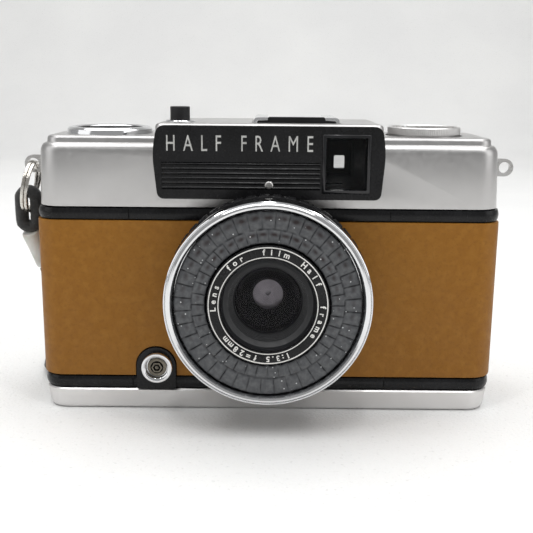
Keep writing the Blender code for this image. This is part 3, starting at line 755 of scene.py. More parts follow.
def make_strap():
    """The two-turn split ring, the braided eye through it, the pale sleeve and the cord below it."""
    hole = pivot("strap_ring_swing")
    down = Vector((-math.sin(RING_TILT), 0.0, -math.cos(RING_TILT)))
    axis = Vector((math.cos(RING_TILT), 0.0, -math.sin(RING_TILT)))
    back = Vector((0.0, 1.0, 0.0))
    centre = hole + down * RING_R
    steps = 160
    half_pitch = 0.44
    path = []
    for i in range(steps + 1):
        angle = 4 * math.pi * i / steps + math.radians(70)
        crossing = min(1.0, max(0.0, (i / steps - 0.5) * 12 + 0.5))
        shift = -half_pitch + 2 * half_pitch * crossing
        path.append(centre + (down * math.cos(angle) + back * math.sin(angle)) * RING_R + axis * shift)
    wire = fillet([(-0.4, -0.42), (0.4, -0.42), (0.4, 0.42), (-0.4, 0.42)], 0.26, 3, closed=True)
    add("split_ring_wire", swept(path, wire, across=axis), NICKEL, "split_ring", body="strap_ring")

    low = hole + down * (2 * RING_R)
    half = 1.85
    loop = []
    for base, start in ((low.z + 2.9, 0), (low.z - 2.2, 180)):
        for k in range(13):
            a = math.radians(start + 15 * k)
            loop.append((low.x + 0.3 + half * math.cos(a), 0.0, base + half * math.sin(a)))
    eye = smooth_route([p for i, p in enumerate(loop) if i % 2 == 0], 0.3, closed=True)
    add("strap_eye_loop", braided(eye, 1.65, True, lay=1.2), BRAID, "strap_eye", body="strap_ring")

    top = Vector((low.x + 0.25, 0.3, low.z - 5.3))
    profile = [(1.5, 0.0), (2.05, 0.004), (2.3, 0.03), (2.38, 0.1), (2.3, 0.4), (2.3, 0.8), (2.38, 0.92),
               (2.25, 0.985), (1.9, 1.0), (1.2, 1.0)]
    ferrule = add("strap_sleeve", lofted(top, FERRULE_END, profile, 0.94), SLEEVE, "strap_ferrule",
                  body="strap_ring")

    path = smooth_route(CORD_ROUTE, 0.4)
    cord = add("wrist_cord", braided(path, CORD_D / 2), BRAID, "strap_cord", body=None)
    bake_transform(cord)
    [p * MM for p in smooth_route(CORD_ROUTE, 2.0)]


make_strap()


# ---------------------------------------------------------------- body skins, bands and covers

BAND_HALF = HALF_LENGTH - BAND_STEP
LEATHER_Z = (LEATHER_LOW.z, LEATHER_HIGH.z)
LOWER_BAND = (span("lower_band")[0].z, 8.4)
UPPER_BAND = (span("upper_band")[0].z - 0.1, COVER_EDGE - 0.2)
SOCKET = middle("sync_socket_shell")
LENS_HOLE_R = 17.2
SEAMS = (-32.5, 28.3)


def leather_section():
    """Section of a skin as (inset, z) points: flat, with soft edges."""
    low, high = LEATHER_Z
    return [(1.0, low), (0.3, low), (0.08, low + 0.1), (0.0, low + 0.35), (0.0, high - 0.35),
            (0.08, high - 0.1), (0.3, high), (1.0, high)]


def band_section(z):
    """A band a little rounded across its height, with soft edges."""
    low, high = z
    bulge = []
    for k in range(9):
        t = -1 + k / 4
        bulge.append((BAND_STEP - 0.28 * (1 - t * t), (low + high) / 2 + t * (high - low) / 2 * 0.93))
    return [(1.4, low), (BAND_STEP + 0.2, low), *bulge, (BAND_STEP + 0.2, high), (1.4, high)]


def socket_outline(grow):
    """The flash socket's boss: a round top on a foot that runs down into the lower band."""
    x = SOCKET.x - 0.3
    r = 4.7 + grow
    points = [(x + r * math.cos(math.radians(a)), SOCKET.z + r * math.sin(math.radians(a)))
              for a in range(0, 181, 9)]
    return points + [(x - r, LOWER_BAND[0]), (x + r, LOWER_BAND[0])]


def seam_cutters(z):
    """Narrow grooves across the front of a band, where its strips meet."""
    y = (-HALF_DEPTH - 1, -HALF_DEPTH + 0.75)
    return [box((x - 0.13, x + 0.13), y, (z[0] - 1, z[1] + 1)) for x in SEAMS]


def make_skins():
    """Leather and bands round the front half, cut for lens and flash socket, and the door's leather."""
    leather = skirt(leather_section(), SKIN_END)
    hole = rod(LENS_HOLE_R, (10.0, 20.0), LENS, 64, "FRONT")
    notch = extruded([(x, z if z > LOWER_BAND[0] else 0.0) for x, z in socket_outline(0.25)], (-20.0, -12.0))
    add("leather_front", combine(leather, [hole, notch]), LEATHER, "front_leather")
    back = skirt(leather_section(), DOOR_START, back=True)
    add("leather_back", back, LEATHER, "back_leather", body="back_door")

    hole = rod(LENS_HOLE_R, (10.0, 20.0), LENS, 64, "FRONT")
    upper = combine(skirt(band_section(UPPER_BAND), SKIN_END),
                    [hole, *seam_cutters(UPPER_BAND)])
    add("band_upper_front", upper, ENAMEL, "upper_band")
    boss = extruded(fillet(socket_outline(0.0), 0.3, 2, closed=True), (-16.0, -14.4), edge=0.25)
    bore = rod(2.6, (12.0, 20.0), (SOCKET.x, 0.0, SOCKET.z), 48, "FRONT")
    lower = combine(skirt(band_section(LOWER_BAND), SKIN_END),
                    [bore, *seam_cutters(LOWER_BAND)], [boss])
    add("band_lower_front", lower, ENAMEL, "lower_band")


def make_back_door():
    """A tray with the leather glued to it, bands at its edges, a felt light trap and hinge knuckles."""
    inner = 1.25
    wall = 0.95
    lip = 1.1
    low, high = LOWER_BAND[0], UPPER_BAND[1]
    section = [(inner, low + 0.05), (inner, high - 0.05), (inner + wall + lip, high - 0.05),
               (inner + wall + lip, high - 1.1), (inner + wall, high - 1.1), (inner + wall, low + 1.1),
               (inner + wall + lip, low + 1.1), (inner + wall + lip, low + 0.05)]
    tray = skirt(section, DOOR_START, back=True)
    add("door_tray", tray, CASTING, "back_door", body="back_door")
    for label, z in (("lower", LOWER_BAND), ("upper", UPPER_BAND)):
        band = skirt(band_section(z), DOOR_START, back=True)
        add("door_band_" + label, band, ENAMEL, body="back_door")
    for side in (-1, 1):
        x = sorted((side * (HALF_LENGTH - 2.5), side * (HALF_LENGTH - 3.2)))
        add("light_trap_" + ("left" if side < 0 else "right"),
            box(x, (BODY_END - 0.3, 10.6), (7.0, 48.4), 0.15), MATT)
    hinge = pivot("door_open")
    low, high = span("hinge_pin")[0].z, span("hinge_pin")[1].z
    count = 5
    step = (high - low - 1.0) / count
    for k in range(count):
        start = low + 0.5 + k * step
        barrel = [(0.42, start + step - 0.1), (0.55, start + step - 0.1), (0.62, start + step - 0.2),
                  (0.62, start + 0.2), (0.55, start + 0.1), (0.42, start + 0.1)]
        body = "back_door" if k % 2 else "camera_body"
        add(f"hinge_knuckle_{k + 1}", turned(barrel, (hinge.x, hinge.y, 0.0), segments=24, closed=True),
            ENAMEL, body=body)
    dress(STEEL, "hinge_pin")
    dress(MATT, "chassis")
    pressed = stack(13.5, 17.5, 1.5, [(0.4, 0.0), (0.0, 0.25), (0.0, 0.75), (0.4, 1.0)])
    bmesh.ops.rotate(pressed, verts=pressed.verts, matrix=Matrix.Rotation(math.radians(90), 3, "X"))
    bmesh.ops.translate(pressed, verts=pressed.verts, vec=(0.0, span("pressure_plate")[1].y, LENS_Z))
    holes = []
    for row in range(-3, 4):
        for column in range(-2, 3):
            spot = (column * 4.6 + (row % 2) * 2.3 - 1.1, 0.0, LENS_Z + row * 4.4)
            holes.append(rod(0.8, (-8.85, 0.0), spot, 16, "FRONT"))
    add("film_pressure_plate", combine(pressed, [merged(*holes)]), MATT, "pressure_plate",
        body="pressure_plate")


# Centres in plan, at the height of the floor.
TRIPOD = (17.0, 0.0, 0.0)
RELEASE = (-5.0, 2.0, 0.0)
SCREWS = ((-46.0, -8.0, 0.0), (46.0, -8.0, 0.0))
CARTRIDGE = (pivot("rewind_turn").x, pivot("rewind_turn").y, 0.0)
WHEEL = pivot("advance_turn")
COUNTER = (pivot("counter_turn").x, pivot("counter_turn").y, 0.0)
BUTTON_LOW, BUTTON_HIGH = span("shutter_button")
BUTTON = ((BUTTON_LOW.x + BUTTON_HIGH.x) / 2, (BUTTON_LOW.y + BUTTON_HIGH.y) / 2, 0.0)
BODY_HALF = 52.6       # half the length of the casting inside the covers
BOTTOM_TOP = span("bottom_cover")[1].z
SHOE_LOW, SHOE_HIGH = span("hot_shoe")
WINDOW = (span("finder_frame")[0].x - 0.5, span("finder_frame")[1].x + 0.5)
WINDOW_Z = (53.6, 67.0)
LUG_Z = 58.2           # centre of the eyes in the strap lugs
ABOVE = 80.0           # clear above the camera, for the ends of cutters


def make_latch():
    """Ribbed slide on the right end, which holds the door shut."""
    low, high = span("door_latch")
    levels = [(0.5, low.x), (0.12, low.x + 0.15), (0.0, low.x + 0.4), (0.15, high.x - 0.35), (0.6, high.x)]
    latch = stack((high.y - low.y) / 2, (high.z - low.z) / 2, 1.0, levels)
    centre_y, centre_z = (low.y + high.y) / 2, (low.z + high.z) / 2
    placed(latch, lambda x, y, z: (z, centre_y + x, centre_z + y))
    grooves = []
    for k in range(-3, 4):
        z = centre_z + k * 0.75
        grooves.append(box((high.x - 0.3, high.x + 1), (low.y - 1, high.y + 1), (z - 0.16, z + 0.16)))
    add("door_latch_slide", combine(latch, grooves), CHROME, "door_latch", body="door_latch")


def make_bottom():
    """Bottom cover with its holes, two screws, the threaded tripod bush and the rewind release."""
    levels = [(1.7, 0.0), (1.25, 0.08), (0.85, 0.4), (0.6, 1.0), (0.2, 3.6), (0.0, 5.0), (0.3, BOTTOM_TOP)]
    cover = stack(BAND_HALF, HALF_DEPTH, CORNER, levels)
    cuts = [stack(BODY_HALF, HALF_DEPTH - 1.7, CORNER - 1.0, [(0.0, 1.35), (0.0, 9.0)])]
    for centre, radius in ((TRIPOD, 4.9), (RELEASE, 2.25), *((screw, 1.95) for screw in SCREWS)):
        profile = [(0.0, 3.0), (radius, 3.0), (radius, 0.25), (radius + 0.3, -0.05), (radius + 0.3, -1.0),
                   (0.0, -1.0)]
        cuts.append(turned(profile, centre, segments=48))
    # The bottom cover takes the lighter copy of the satin metal: painted light.
    add("cover_bottom", combine(cover, cuts), SATIN_PAINTED_LIGHT, "bottom_cover")

    for side in ("left", "right"):
        at, top = middle("bottom_screw_" + side), span("bottom_screw_" + side)[1].z
        head = turned([(0.0, top), (1.7, top), (1.7, 0.45), (1.45, 0.2), (0.0, 0.15)], (at.x, at.y, 0.0),
                      segments=40)
        slots = cross_cut(at.x, at.y, 1.1, 0.2, (-1, 0.7))
        add("base_screw_" + side, combine(head, slots), STEEL, "bottom_screw_" + side)
    bore = [(0.0, 6.4), (3.9, 6.4), (3.9, 1.0), (4.6, 1.0), (4.6, 0.3), (4.4, 0.1), (3.5, 0.1)]
    threads = 8
    for k in range(threads):
        z = 0.35 + k * 0.6
        bore += [(3.2, z), (2.95, z + 0.3)]
    bore += [(3.2, 5.2), (0.0, 5.2)]
    add("tripod_bush", turned(bore, TRIPOD, segments=64), STEEL, "tripod_socket")
    button = [(0.0, 3.4), (2.3, 3.4), (2.3, 2.0), (1.9, 2.0), (1.9, 0.5), (1.7, 0.25), (1.0, 0.35),
              (0.0, 0.4)]
    add("rewind_release_button", turned(button, RELEASE, segments=40), CHROME, "rewind_release",
        body="rewind_release")


def make_top_cover():
    """Drawn shell: drafted sides, a rounded shoulder, a ledge round the plateau, and the crown."""
    half = COVER_HALF
    depth = (COVER_HIGH.y - COVER_LOW.y) / 2
    levels = [(0.4, COVER_EDGE), (0.06, COVER_EDGE + 0.1), (0.0, COVER_EDGE + 0.3), (0.5, 62.2),
              (0.6, 62.85), (0.82, 63.45), (1.15, 63.92), (1.55, 64.2), (1.95, 64.3), (2.08, 64.42),
              (2.14, 64.75), (2.18, 65.25), (2.32, 65.6), (2.62, 65.85), (3.1, SHOULDER)]
    cover = stack(half, depth, CORNER, levels)
    crown = stack(CROWN_HALF, depth - 0.15, 1.6, [(0.0, 60.0), (0.0, 68.1), (0.12, 68.55), (0.42, 68.85),
                                                  (0.9, CROWN)])
    cover = combine(cover, joined=[crown])
    cuts = [stack(half - 2.3, depth - 2.3, CORNER - 1.5, [(0.0, 45.0), (0.0, 63.2)]),
            box((-CROWN_HALF + 1, CROWN_HALF - 1), (-depth + 1.2, depth - 1.2), (58.0, CROWN - 2.9)),
            box((SHOE_LOW.x - 0.4, SHOE_HIGH.x + 0.4), (SHOE_LOW.y - 0.4, 20.0), (66.8, 75.0)),
            box((WINDOW[0] + 0.2, WINDOW[1] - 0.2), (-20.0, -12.0), (53.8, 66.8)),
            box((12.0, 23.0), (12.0, 20.0), (54.8, 65.2), 0.5),
            box((12.8, 22.2), (-16.0, 13.0), (53.9, 66.7)),
            box((WHEEL.x - 10.5, WHEEL.x + 10.5), (12.0, 20.0), (51.4, 56.4), 0.4),
            rod(9.3, (63.3, ABOVE), CARTRIDGE, 72), rod(3.2, (55.0, ABOVE), CARTRIDGE, 32),
            rod(8.6, (60.0, ABOVE), COUNTER, 64), rod(2.8, (60.0, ABOVE), BUTTON, 40)]
    add("cover_top", combine(cover, cuts), SATIN, "top_cover")
    for label, side in (("left", -1), ("right", 1)):
        make_lug(label, side)


def make_lug(label, side):
    """A stamped eye on a squared tab, with a small plate where it meets the cover."""
    low, high = span(label + "_strap_lug")
    eye_r, hole_r = 2.15, 1.4
    centre = (side * (max(abs(low.x), abs(high.x)) - eye_r), 0.0, LUG_Z)
    root = side * (COVER_HALF - 0.6)
    outline = [(root, LUG_Z - 2.1)]
    for degrees in range(-90, 91, 10):
        a = math.radians(degrees)
        outline.append((centre[0] + side * eye_r * math.cos(a), LUG_Z + eye_r * math.sin(a)))
    outline.append((root, LUG_Z + 2.1))
    eye = extruded(outline, (-0.75, 0.75), edge=0.22)
    hole = rod(hole_r, (-2.0, 2.0), centre, 40, "FRONT")
    x = sorted((root, root + side * 0.95))
    foot = box(x, (-1.6, 1.6), (LUG_Z - 2.9, LUG_Z + 2.6), 0.25)
    add(label + "_lug", combine(eye, [hole], [foot]), STEEL, label + "_strap_lug")


# ---------------------------------------------------------------- front plate and finder

PLATE_LOW, PLATE_HIGH = span("front_plate")


def make_front_plate():
    """Glossy black plate with ribs, lettering, the index dot and the finder's window."""
    low, high = PLATE_LOW, PLATE_HIGH
    left, right, top = low.x - 0.2, high.x + 0.2, high.z - 0.2
    outline = [(left + 1.1, low.z + 0.15), (right - 0.9, low.z + 0.15), (right, 62.6), (right - 0.9, top),
               (left + 1.1, top), (left, 62.5)]
    outline = fillet(outline, [1.6, 1.6, 3.0, 1.9, 1.9, 3.0], 6, closed=True)
    front = -low.y
    plate = extruded(outline, (-front, high.y), edge=0.6, segments=4)
    window = box(WINDOW, (-20.0, -12.0), WINDOW_Z, 0.3)
    ribs_x = (-24.4, 11.6)
    first, pitch, count = 54.75, 1.08, 6
    profile = [(-front - 0.5, first - 0.5)]
    for k in range(count):
        z = first + pitch * k
        profile += [(-front + 0.3, z - 0.34), (-front + 0.1, z - 0.16), (-front + 0.02, z),
                    (-front + 0.1, z + 0.16), (-front + 0.3, z + 0.34)]
    profile.append((-front - 0.5, first + pitch * (count - 1) + 0.5))
    field = extruded(profile, ribs_x, "X")
    add("front_panel", combine(plate, [window, field]), ENAMEL, "front_plate")

    dot = turned([(0.0, front + 0.22), (0.7, front + 0.2), (0.92, front + 0.05), (0.95, front - 0.4),
                  (0.0, front - 0.4)], (0.0, 0.0, 55.4), "FRONT", 32)
    add("index_dot", dot, STEEL)
    word = letters("HALF FRAME", 3.6, lambda x, y, z: (-6.75 + x, -front - z, 64.6 + y), 0.16, 0.64, 2.0)
    add("plate_lettering", word, SILVER_INK, sharp=50)


def rim_frame(x, z, wall, y, edge):
    """A rectangular frame seen from the front, with its window cut through and soft edges."""
    body = box(x, y, z, edge)
    hole = box((x[0] + wall, x[1] - wall), (y[0] - 3, y[1] + 3), (z[0] + wall, z[1] - wall), 0.2)
    return combine(body, [hole])


def make_finder():
    """Sight through the camera: front frame and pane, a stepped black tunnel, the eyepiece behind."""
    rim_x = (WINDOW[0] + 0.03, WINDOW[1] - 0.03)
    rim_z = (WINDOW_Z[0] + 0.03, WINDOW_Z[1] - 0.03)
    rim = rim_frame(rim_x, rim_z, 0.75, (PLATE_LOW.y - 0.22, -15.8), 0.28)
    add("finder_rim", rim, GLOSS, "finder_frame")
    pane = box((WINDOW[0] + 0.85, WINDOW[1] - 0.85), (-17.1, -16.3),
               (WINDOW_Z[0] + 0.85, WINDOW_Z[1] - 0.85), 0.12)
    add("finder_pane", pane, PANE, "finder_objective")
    eye_low, eye_high = span("eyepiece_frame")
    bm = bmesh.new()
    # Each section: y, then the centre's x and z, then half its width and height.
    inside = [(-16.2, 17.5, 60.3, 4.4, 5.9), (5.6, 17.5, 59.9, 3.3, 4.4), (5.6, 17.8, 58.7, 1.35, 1.65),
              (6.0, 17.8, 58.7, 1.35, 1.65), (6.1, 17.5, 59.7, 3.3, 3.5), (13.9, 17.5, 59.6, 3.3, 3.6)]
    outside = [(13.9, 17.5, 59.6, 3.7, 4.0), (5.8, 17.5, 59.9, 3.7, 4.8), (-16.2, 17.5, 60.3, 4.8, 6.3)]
    rows = []
    for y, x, z, half_x, half_z in inside + outside:
        outline = rounded_rectangle(half_x, half_z, 0.4, 0.0, 3)
        rows.append([bm.verts.new((x + px, y, z + pz)) for px, pz in outline])
    rows.append(rows[0])
    bridge(bm, rows, cap=False)
    flag_slot = box((12.0, 17.6), (-9.1, -7.0), (52.0, 59.2))
    add("finder_tunnel", combine(bm, [flag_slot]), MATT, slot="black_plastic")

    rear = stack((eye_high.x - eye_low.x) / 2, (eye_high.z - eye_low.z) / 2, 1.4,
                 [(0.0, 14.0), (0.0, 16.4), (0.15, 16.8), (0.5, eye_high.y)])
    centre_x, centre_z = (eye_low.x + eye_high.x) / 2, (eye_low.z + eye_high.z) / 2
    placed(rear, lambda x, y, z: (centre_x + x, z, centre_z + y))
    hole = box((14.2, 20.8), (10.0, 20.0), (56.1, 63.0), 0.8)
    add("eyepiece_rim", combine(rear, [hole]), PLASTIC, "eyepiece_frame")
    glass = box((14.3, 20.7), (14.8, 15.9), (56.2, 62.9), 0.3)
    add("eyepiece_glass", glass, PANE, "eyepiece_lens")


# ---------------------------------------------------------------- lens

FORWARD = Vector((0.0, -1.0, 0.0))


def spoke(degrees):
    """Directions outward from the lens axis and clockwise round it, at an angle up from +X."""
    a = math.radians(degrees)
    return Vector((math.cos(a), 0.0, math.sin(a))), Vector((math.sin(a), 0.0, -math.cos(a)))


def knurled(teeth, depth, low, high, share=0.7):
    """Gives a ring straight teeth between two heights."""
    def shape(r, h, angle):
        place = (angle * teeth / (2 * math.pi)) % 1.0
        if low < h < high and place > share:
            return r - depth, h
        return r, h
    return shape


def make_setting_rings():
    """The black knurled aperture ring and the narrow film speed ring in front of it."""
    ring = [(19.4, 25.7), (22.5, 25.7), (22.8, 25.55), (22.85, 25.4), (23.05, 25.3), (23.1, 25.1),
            (23.1, 22.7), (23.0, 22.5), (22.45, 22.4), (22.35, 22.2), (22.35, 19.8), (22.2, 19.4),
            (19.4, 19.3)]
    teeth = 48
    bm = lens_ring(ring, teeth * 8, shape=knurled(teeth, 0.4, 22.45, 25.35))
    add("aperture_grip", bm, ENAMEL, "aperture_ring", body="aperture_ring", sharp=40)
    stops = ("3.5", "4", "5.6", "8", "11", "16", "22", "A")
    numbers = [on_drum(stop, 90 - 26 + 9.0 * k, 22.35, 20.95, 1.5) for k, stop in enumerate(reversed(stops))]
    add("aperture_numbers", merged(*numbers), WHITE, body="aperture_ring", sharp=50)

    ring = [(19.4, 28.1), (21.7, 28.1), (22.05, 27.95), (22.15, 27.7), (22.15, 26.6), (22.05, 26.4),
            (19.4, 26.3)]
    bm = lens_ring(ring, 320, shape=knurled(80, 0.12, 26.45, 27.9, 0.5))
    add("film_speed_grip", bm, ENAMEL, "film_speed_ring", body="film_speed_ring", sharp=40)
    marks = []
    for k in range(5):
        radial, along = spoke(60 + 15 * k)
        base = Vector(LENS) + radial * 22.16 + FORWARD * 27.15
        tick = box((-0.02, 0.04), (-0.4, 0.4), (-0.1, 0.1))
        marks.append(placed(tick, lambda x, y, z: base + radial * x - FORWARD * y - along * z))
    add("film_speed_marks", merged(*marks), WHITE, body="film_speed_ring")


def on_drum(body, degrees, radius, height, size):
    """Lettering round the outside of a ring, read from in front of and above it."""
    radial, along = spoke(degrees)
    base = Vector(LENS) + FORWARD * height

    def place(x, y, z):
        return base + radial * (radius + z + 0.02) + along * x - FORWARD * y
    return letters(body, size, place, 0.08)


def on_face(body, degrees, radius, height, size):
    """One letter on the name ring: its top points outward, and the words run clockwise."""
    radial, along = spoke(degrees)

    def place(x, y, z):
        return Vector(LENS) + radial * (radius + y) + along * x + FORWARD * (height + z)
    return letters(body, size, place, 0.05, bold=0.05)


LENSLETS = 40
ROWS = ((13.75, 16.75), (16.75, 20.55))


def lenslet(radius, angle):
    """Place within a lenslet, each way from -1 to 1, with its row."""
    row = 0 if radius < ROWS[0][1] else 1
    low, high = ROWS[row]
    across = (radius - low) / (high - low) * 2 - 1
    turn = (angle * LENSLETS / (2 * math.pi) + 0.5 * row) % 1.0 * 2 - 1
    return across, turn, row


def make_cell_window():
    """Two rings of pillow lenslets, with painted shade in the seams and a painted brown shade where the cell
    shows through, high in each lenslet.
    """
    def shape(radius, height, angle):
        across, turn, row = lenslet(radius, angle)
        if height < 31.5:
            return radius, height
        pillow = 0.42 * (1 - abs(across) ** 3) * (1 - abs(turn) ** 3)
        lean = 0.04 * math.sin(angle) * turn * math.copysign(1, math.cos(angle))
        return radius, height - 0.36 + pillow + lean

    steps = 30
    inner, outer = 13.72, 20.58
    back, front, fall = 31.0, 32.5, 0.5
    profile = [(inner - 0.1, back)]
    for k in range(steps + 1):
        profile.append((inner + (outer - inner) * k / steps, front - fall * (k / steps)))
    profile.append((outer + 0.08, back))
    bm = lens_ring(profile, LENSLETS * 12, shape=shape)
    obj = add("cell_lenslets", bm, CELL, "cell_window", sharp=70)
    shade = obj.data.attributes.new("shade", "FLOAT_COLOR", "POINT")
    for i, v in enumerate(obj.data.vertices):
        x, z = v.co.x / MM, v.co.z / MM - LENS_Z
        radius, angle = math.hypot(x, z), math.atan2(z, x)
        across, turn, row = lenslet(radius, angle)
        up_across, up_turn = math.sin(angle), math.cos(angle)
        wander = noise.noise(Vector((x * 0.9, z * 0.9, 3.0)))
        # The seam value is painted shade in the seams between lenslets; the seams within a row are darkest
        # at the window's left and right.
        beside = 0.25 + 0.75 * abs(up_turn) ** 0.8
        seam_shade = max(abs(across) ** 9 * (0.75 + wander), abs(turn) ** 9 * beside * (0.9 + 0.8 * wander))
        # The spot, faded by fade, is a painted brown shade where the cell shows through, set high in each
        # lenslet and weaker towards the bottom of the window.
        wide = 0.30 + 0.10 * abs(up_across)
        off_across = (across - 0.30 * up_across) / 0.30
        off_turn = (turn - 0.35 * up_turn) / (2 * wide)
        spot = math.exp(-(off_across ** 2 + off_turn ** 2))
        fade = (0.55 + 0.45 * up_across) * (0.8 + 0.5 * wander)
        shade.data[i].color = (max(0.0, seam_shade), max(0.0, spot * fade), 0.0, 1.0)


def make_lens():
    """Bright rim, name ring and its letters, ridged barrel, dark bore, front glass and shutter case."""
    edge = RIM_R + 0.15    # the outer edge is a little past the CAD rim
    rim = [(edge, 28.6), (edge, 32.1), (22.78, 32.5), (22.6, 32.62), (22.5, 32.42), (22.38, 32.58),
           (22.1, 32.9), (21.7, 33.0), (21.3, 32.85), (21.0, 32.3), (20.85, 31.5), (20.8, 29.4),
           (13.8, 29.4), (13.8, 28.6)]
    add("lens_rim", lens_ring(rim, 192), CHROME, "chrome_rim")
    dress(SELENIUM, "selenium_cell")
    make_cell_window()

    ring = [(13.4, 31.2), (13.4, 32.75), (13.25, 32.97), (13.0, 33.03), (10.7, 33.03), (10.45, 32.9),
            (10.35, 32.65), (10.35, 31.2)]
    add("front_name_ring", lens_ring(ring), ENAMEL, "name_ring")
    circles = []
    for radius, width in ((12.95, 0.24), (10.82, 0.2)):
        line = [(radius - width / 2, 32.95), (radius - width / 2, 33.06), (radius + width / 2, 33.06),
                (radius + width / 2, 32.95)]
        circles.append(lens_ring(line))
    glyphs = []
    for body, start, pitch in (("Lens  for  film", 184.0, 8.1), ("Half  frame", 50.0, 8.4),
                               ("1:3.5", -68.0, 5.4), ("f=28mm", -103.0, 7.6)):
        for k, letter in enumerate(body):
            if letter != " ":
                glyphs.append(on_face(letter, start - pitch * k, 11.9, 33.05, 1.22))
    add("name_ring_letters", merged(*circles, *glyphs), WHITE, sharp=50)

    steps = [(10.3, 32.5), (10.25, 31.8), (9.9, 31.0), (9.2, 30.4), (8.9, 30.15)]
    for k in range(5):
        radius = 8.8 - 0.22 * k
        height = 30.1 - 0.36 * k
        steps += [(radius, height), (radius - 0.04, height - 0.26), (radius - 0.16, height - 0.3)]
    bore = [(7.6, 28.1), (7.5, 27.9), (7.5, 27.0), (12.9, 27.0), (13.1, 31.0)]
    add("barrel", lens_ring(steps + bore), BARREL, "lens_barrel", sharp=20)
    cone = [(7.45, 27.2), (7.2, 26.9), (6.75, 26.0), (6.0, 24.9), (4.6, 23.6), (3.55, 22.5), (3.45, 22.2),
            (3.45, 21.9), (12.9, 21.9), (12.9, 26.9)]
    add("barrel_bore", lens_ring(cone), BORE, sharp=60)
    element = []
    for k in range(13):
        a = k / 12
        element.append((7.4 * a, 28.4 - 0.9 * a * a))
    element += [(7.4, 27.3)] + [(7.4 * (1 - k / 8), 27.0 + 0.2 * (1 - k / 8) ** 2) for k in range(9)]
    add("front_glass", turned(element, LENS, "FRONT", 96), GLASS, "front_element")
    dress(GLASS, "rear_element")
    dress(BLADE, "aperture_blade_upper", "aperture_blade_lower", "shutter_blade_left", "shutter_blade_right")
    housing = [(18.95, 28.2), (18.95, 19.1), (20.1, 19.0), (20.4, 18.7), (20.4, 15.95), (16.6, 15.9),
               (16.6, 6.4), (5.6, 6.4), (5.6, 17.7), (14.8, 17.7), (14.8, 28.2)]
    add("shutter_case", lens_ring(housing, 96), CASTING, "shutter_housing")


def make_sync_socket():
    """Bright ring, with a nut, a six-sided sleeve and the pin deep inside."""
    centre = (SOCKET.x, 0.0, SOCKET.z)
    shell = [(3.75, 16.1), (3.75, 17.15), (3.6, 17.5), (3.35, 17.58), (2.95, 17.5), (2.65, 17.25),
             (2.55, 16.9), (2.55, 14.9), (2.35, 14.9), (2.35, 16.1)]
    add("sync_ring", turned(shell, centre, "FRONT", 72, closed=True), CHROME, "sync_socket_shell")
    nut = turned([(2.3, 16.6), (2.3, 14.9), (1.55, 14.9), (1.55, 16.7), (2.1, 16.7)], centre, "FRONT", 48,
                 closed=True)
    sleeve = turned([(1.3, 17.0), (1.3, 15.0), (0.95, 15.0), (0.95, 17.0)], centre, "FRONT", 6, closed=True)
    pin = turned([(0.0, 17.1), (0.25, 17.05), (0.45, 16.9), (0.45, 15.0), (0.0, 15.0)], centre, "FRONT", 24)
    floor = rod(2.5, (14.95, 15.2), centre, 32, "FRONT")
    add("sync_nut", merged(nut, sleeve), AGED)
    add("sync_pin", pin, AGED)
    add("sync_floor", floor, PLASTIC, "sync_socket_core")


# ---------------------------------------------------------------- top controls

def make_button():
    """Shutter button with a hole for a cable release, in its bright collar."""
    centre = BUTTON
    collar = [(3.5, 68.9), (3.5, 69.2), (3.35, 69.4), (3.0, 69.46), (2.75, 69.35), (2.75, 68.9)]
    add("button_collar", turned(collar, centre, segments=64, closed=True), CHROME, "shutter_collar")
    stem = [(0.0, 72.35), (1.2, 72.42), (1.8, 72.58), (2.2, 72.56), (2.33, 72.4), (2.33, 66.0), (3.4, 66.0),
            (3.4, 64.8), (1.0, 64.8), (1.0, 61.2), (0.0, 61.2)]
    cable = turned([(0.0, 75.0), (0.75, 75.0), (0.75, 72.3), (0.55, 71.0), (0.0, 71.0)], centre, segments=32)
    add("release_button", combine(turned(stem, centre, segments=64), [cable]), PLASTIC, "shutter_button",
        body="shutter_button")


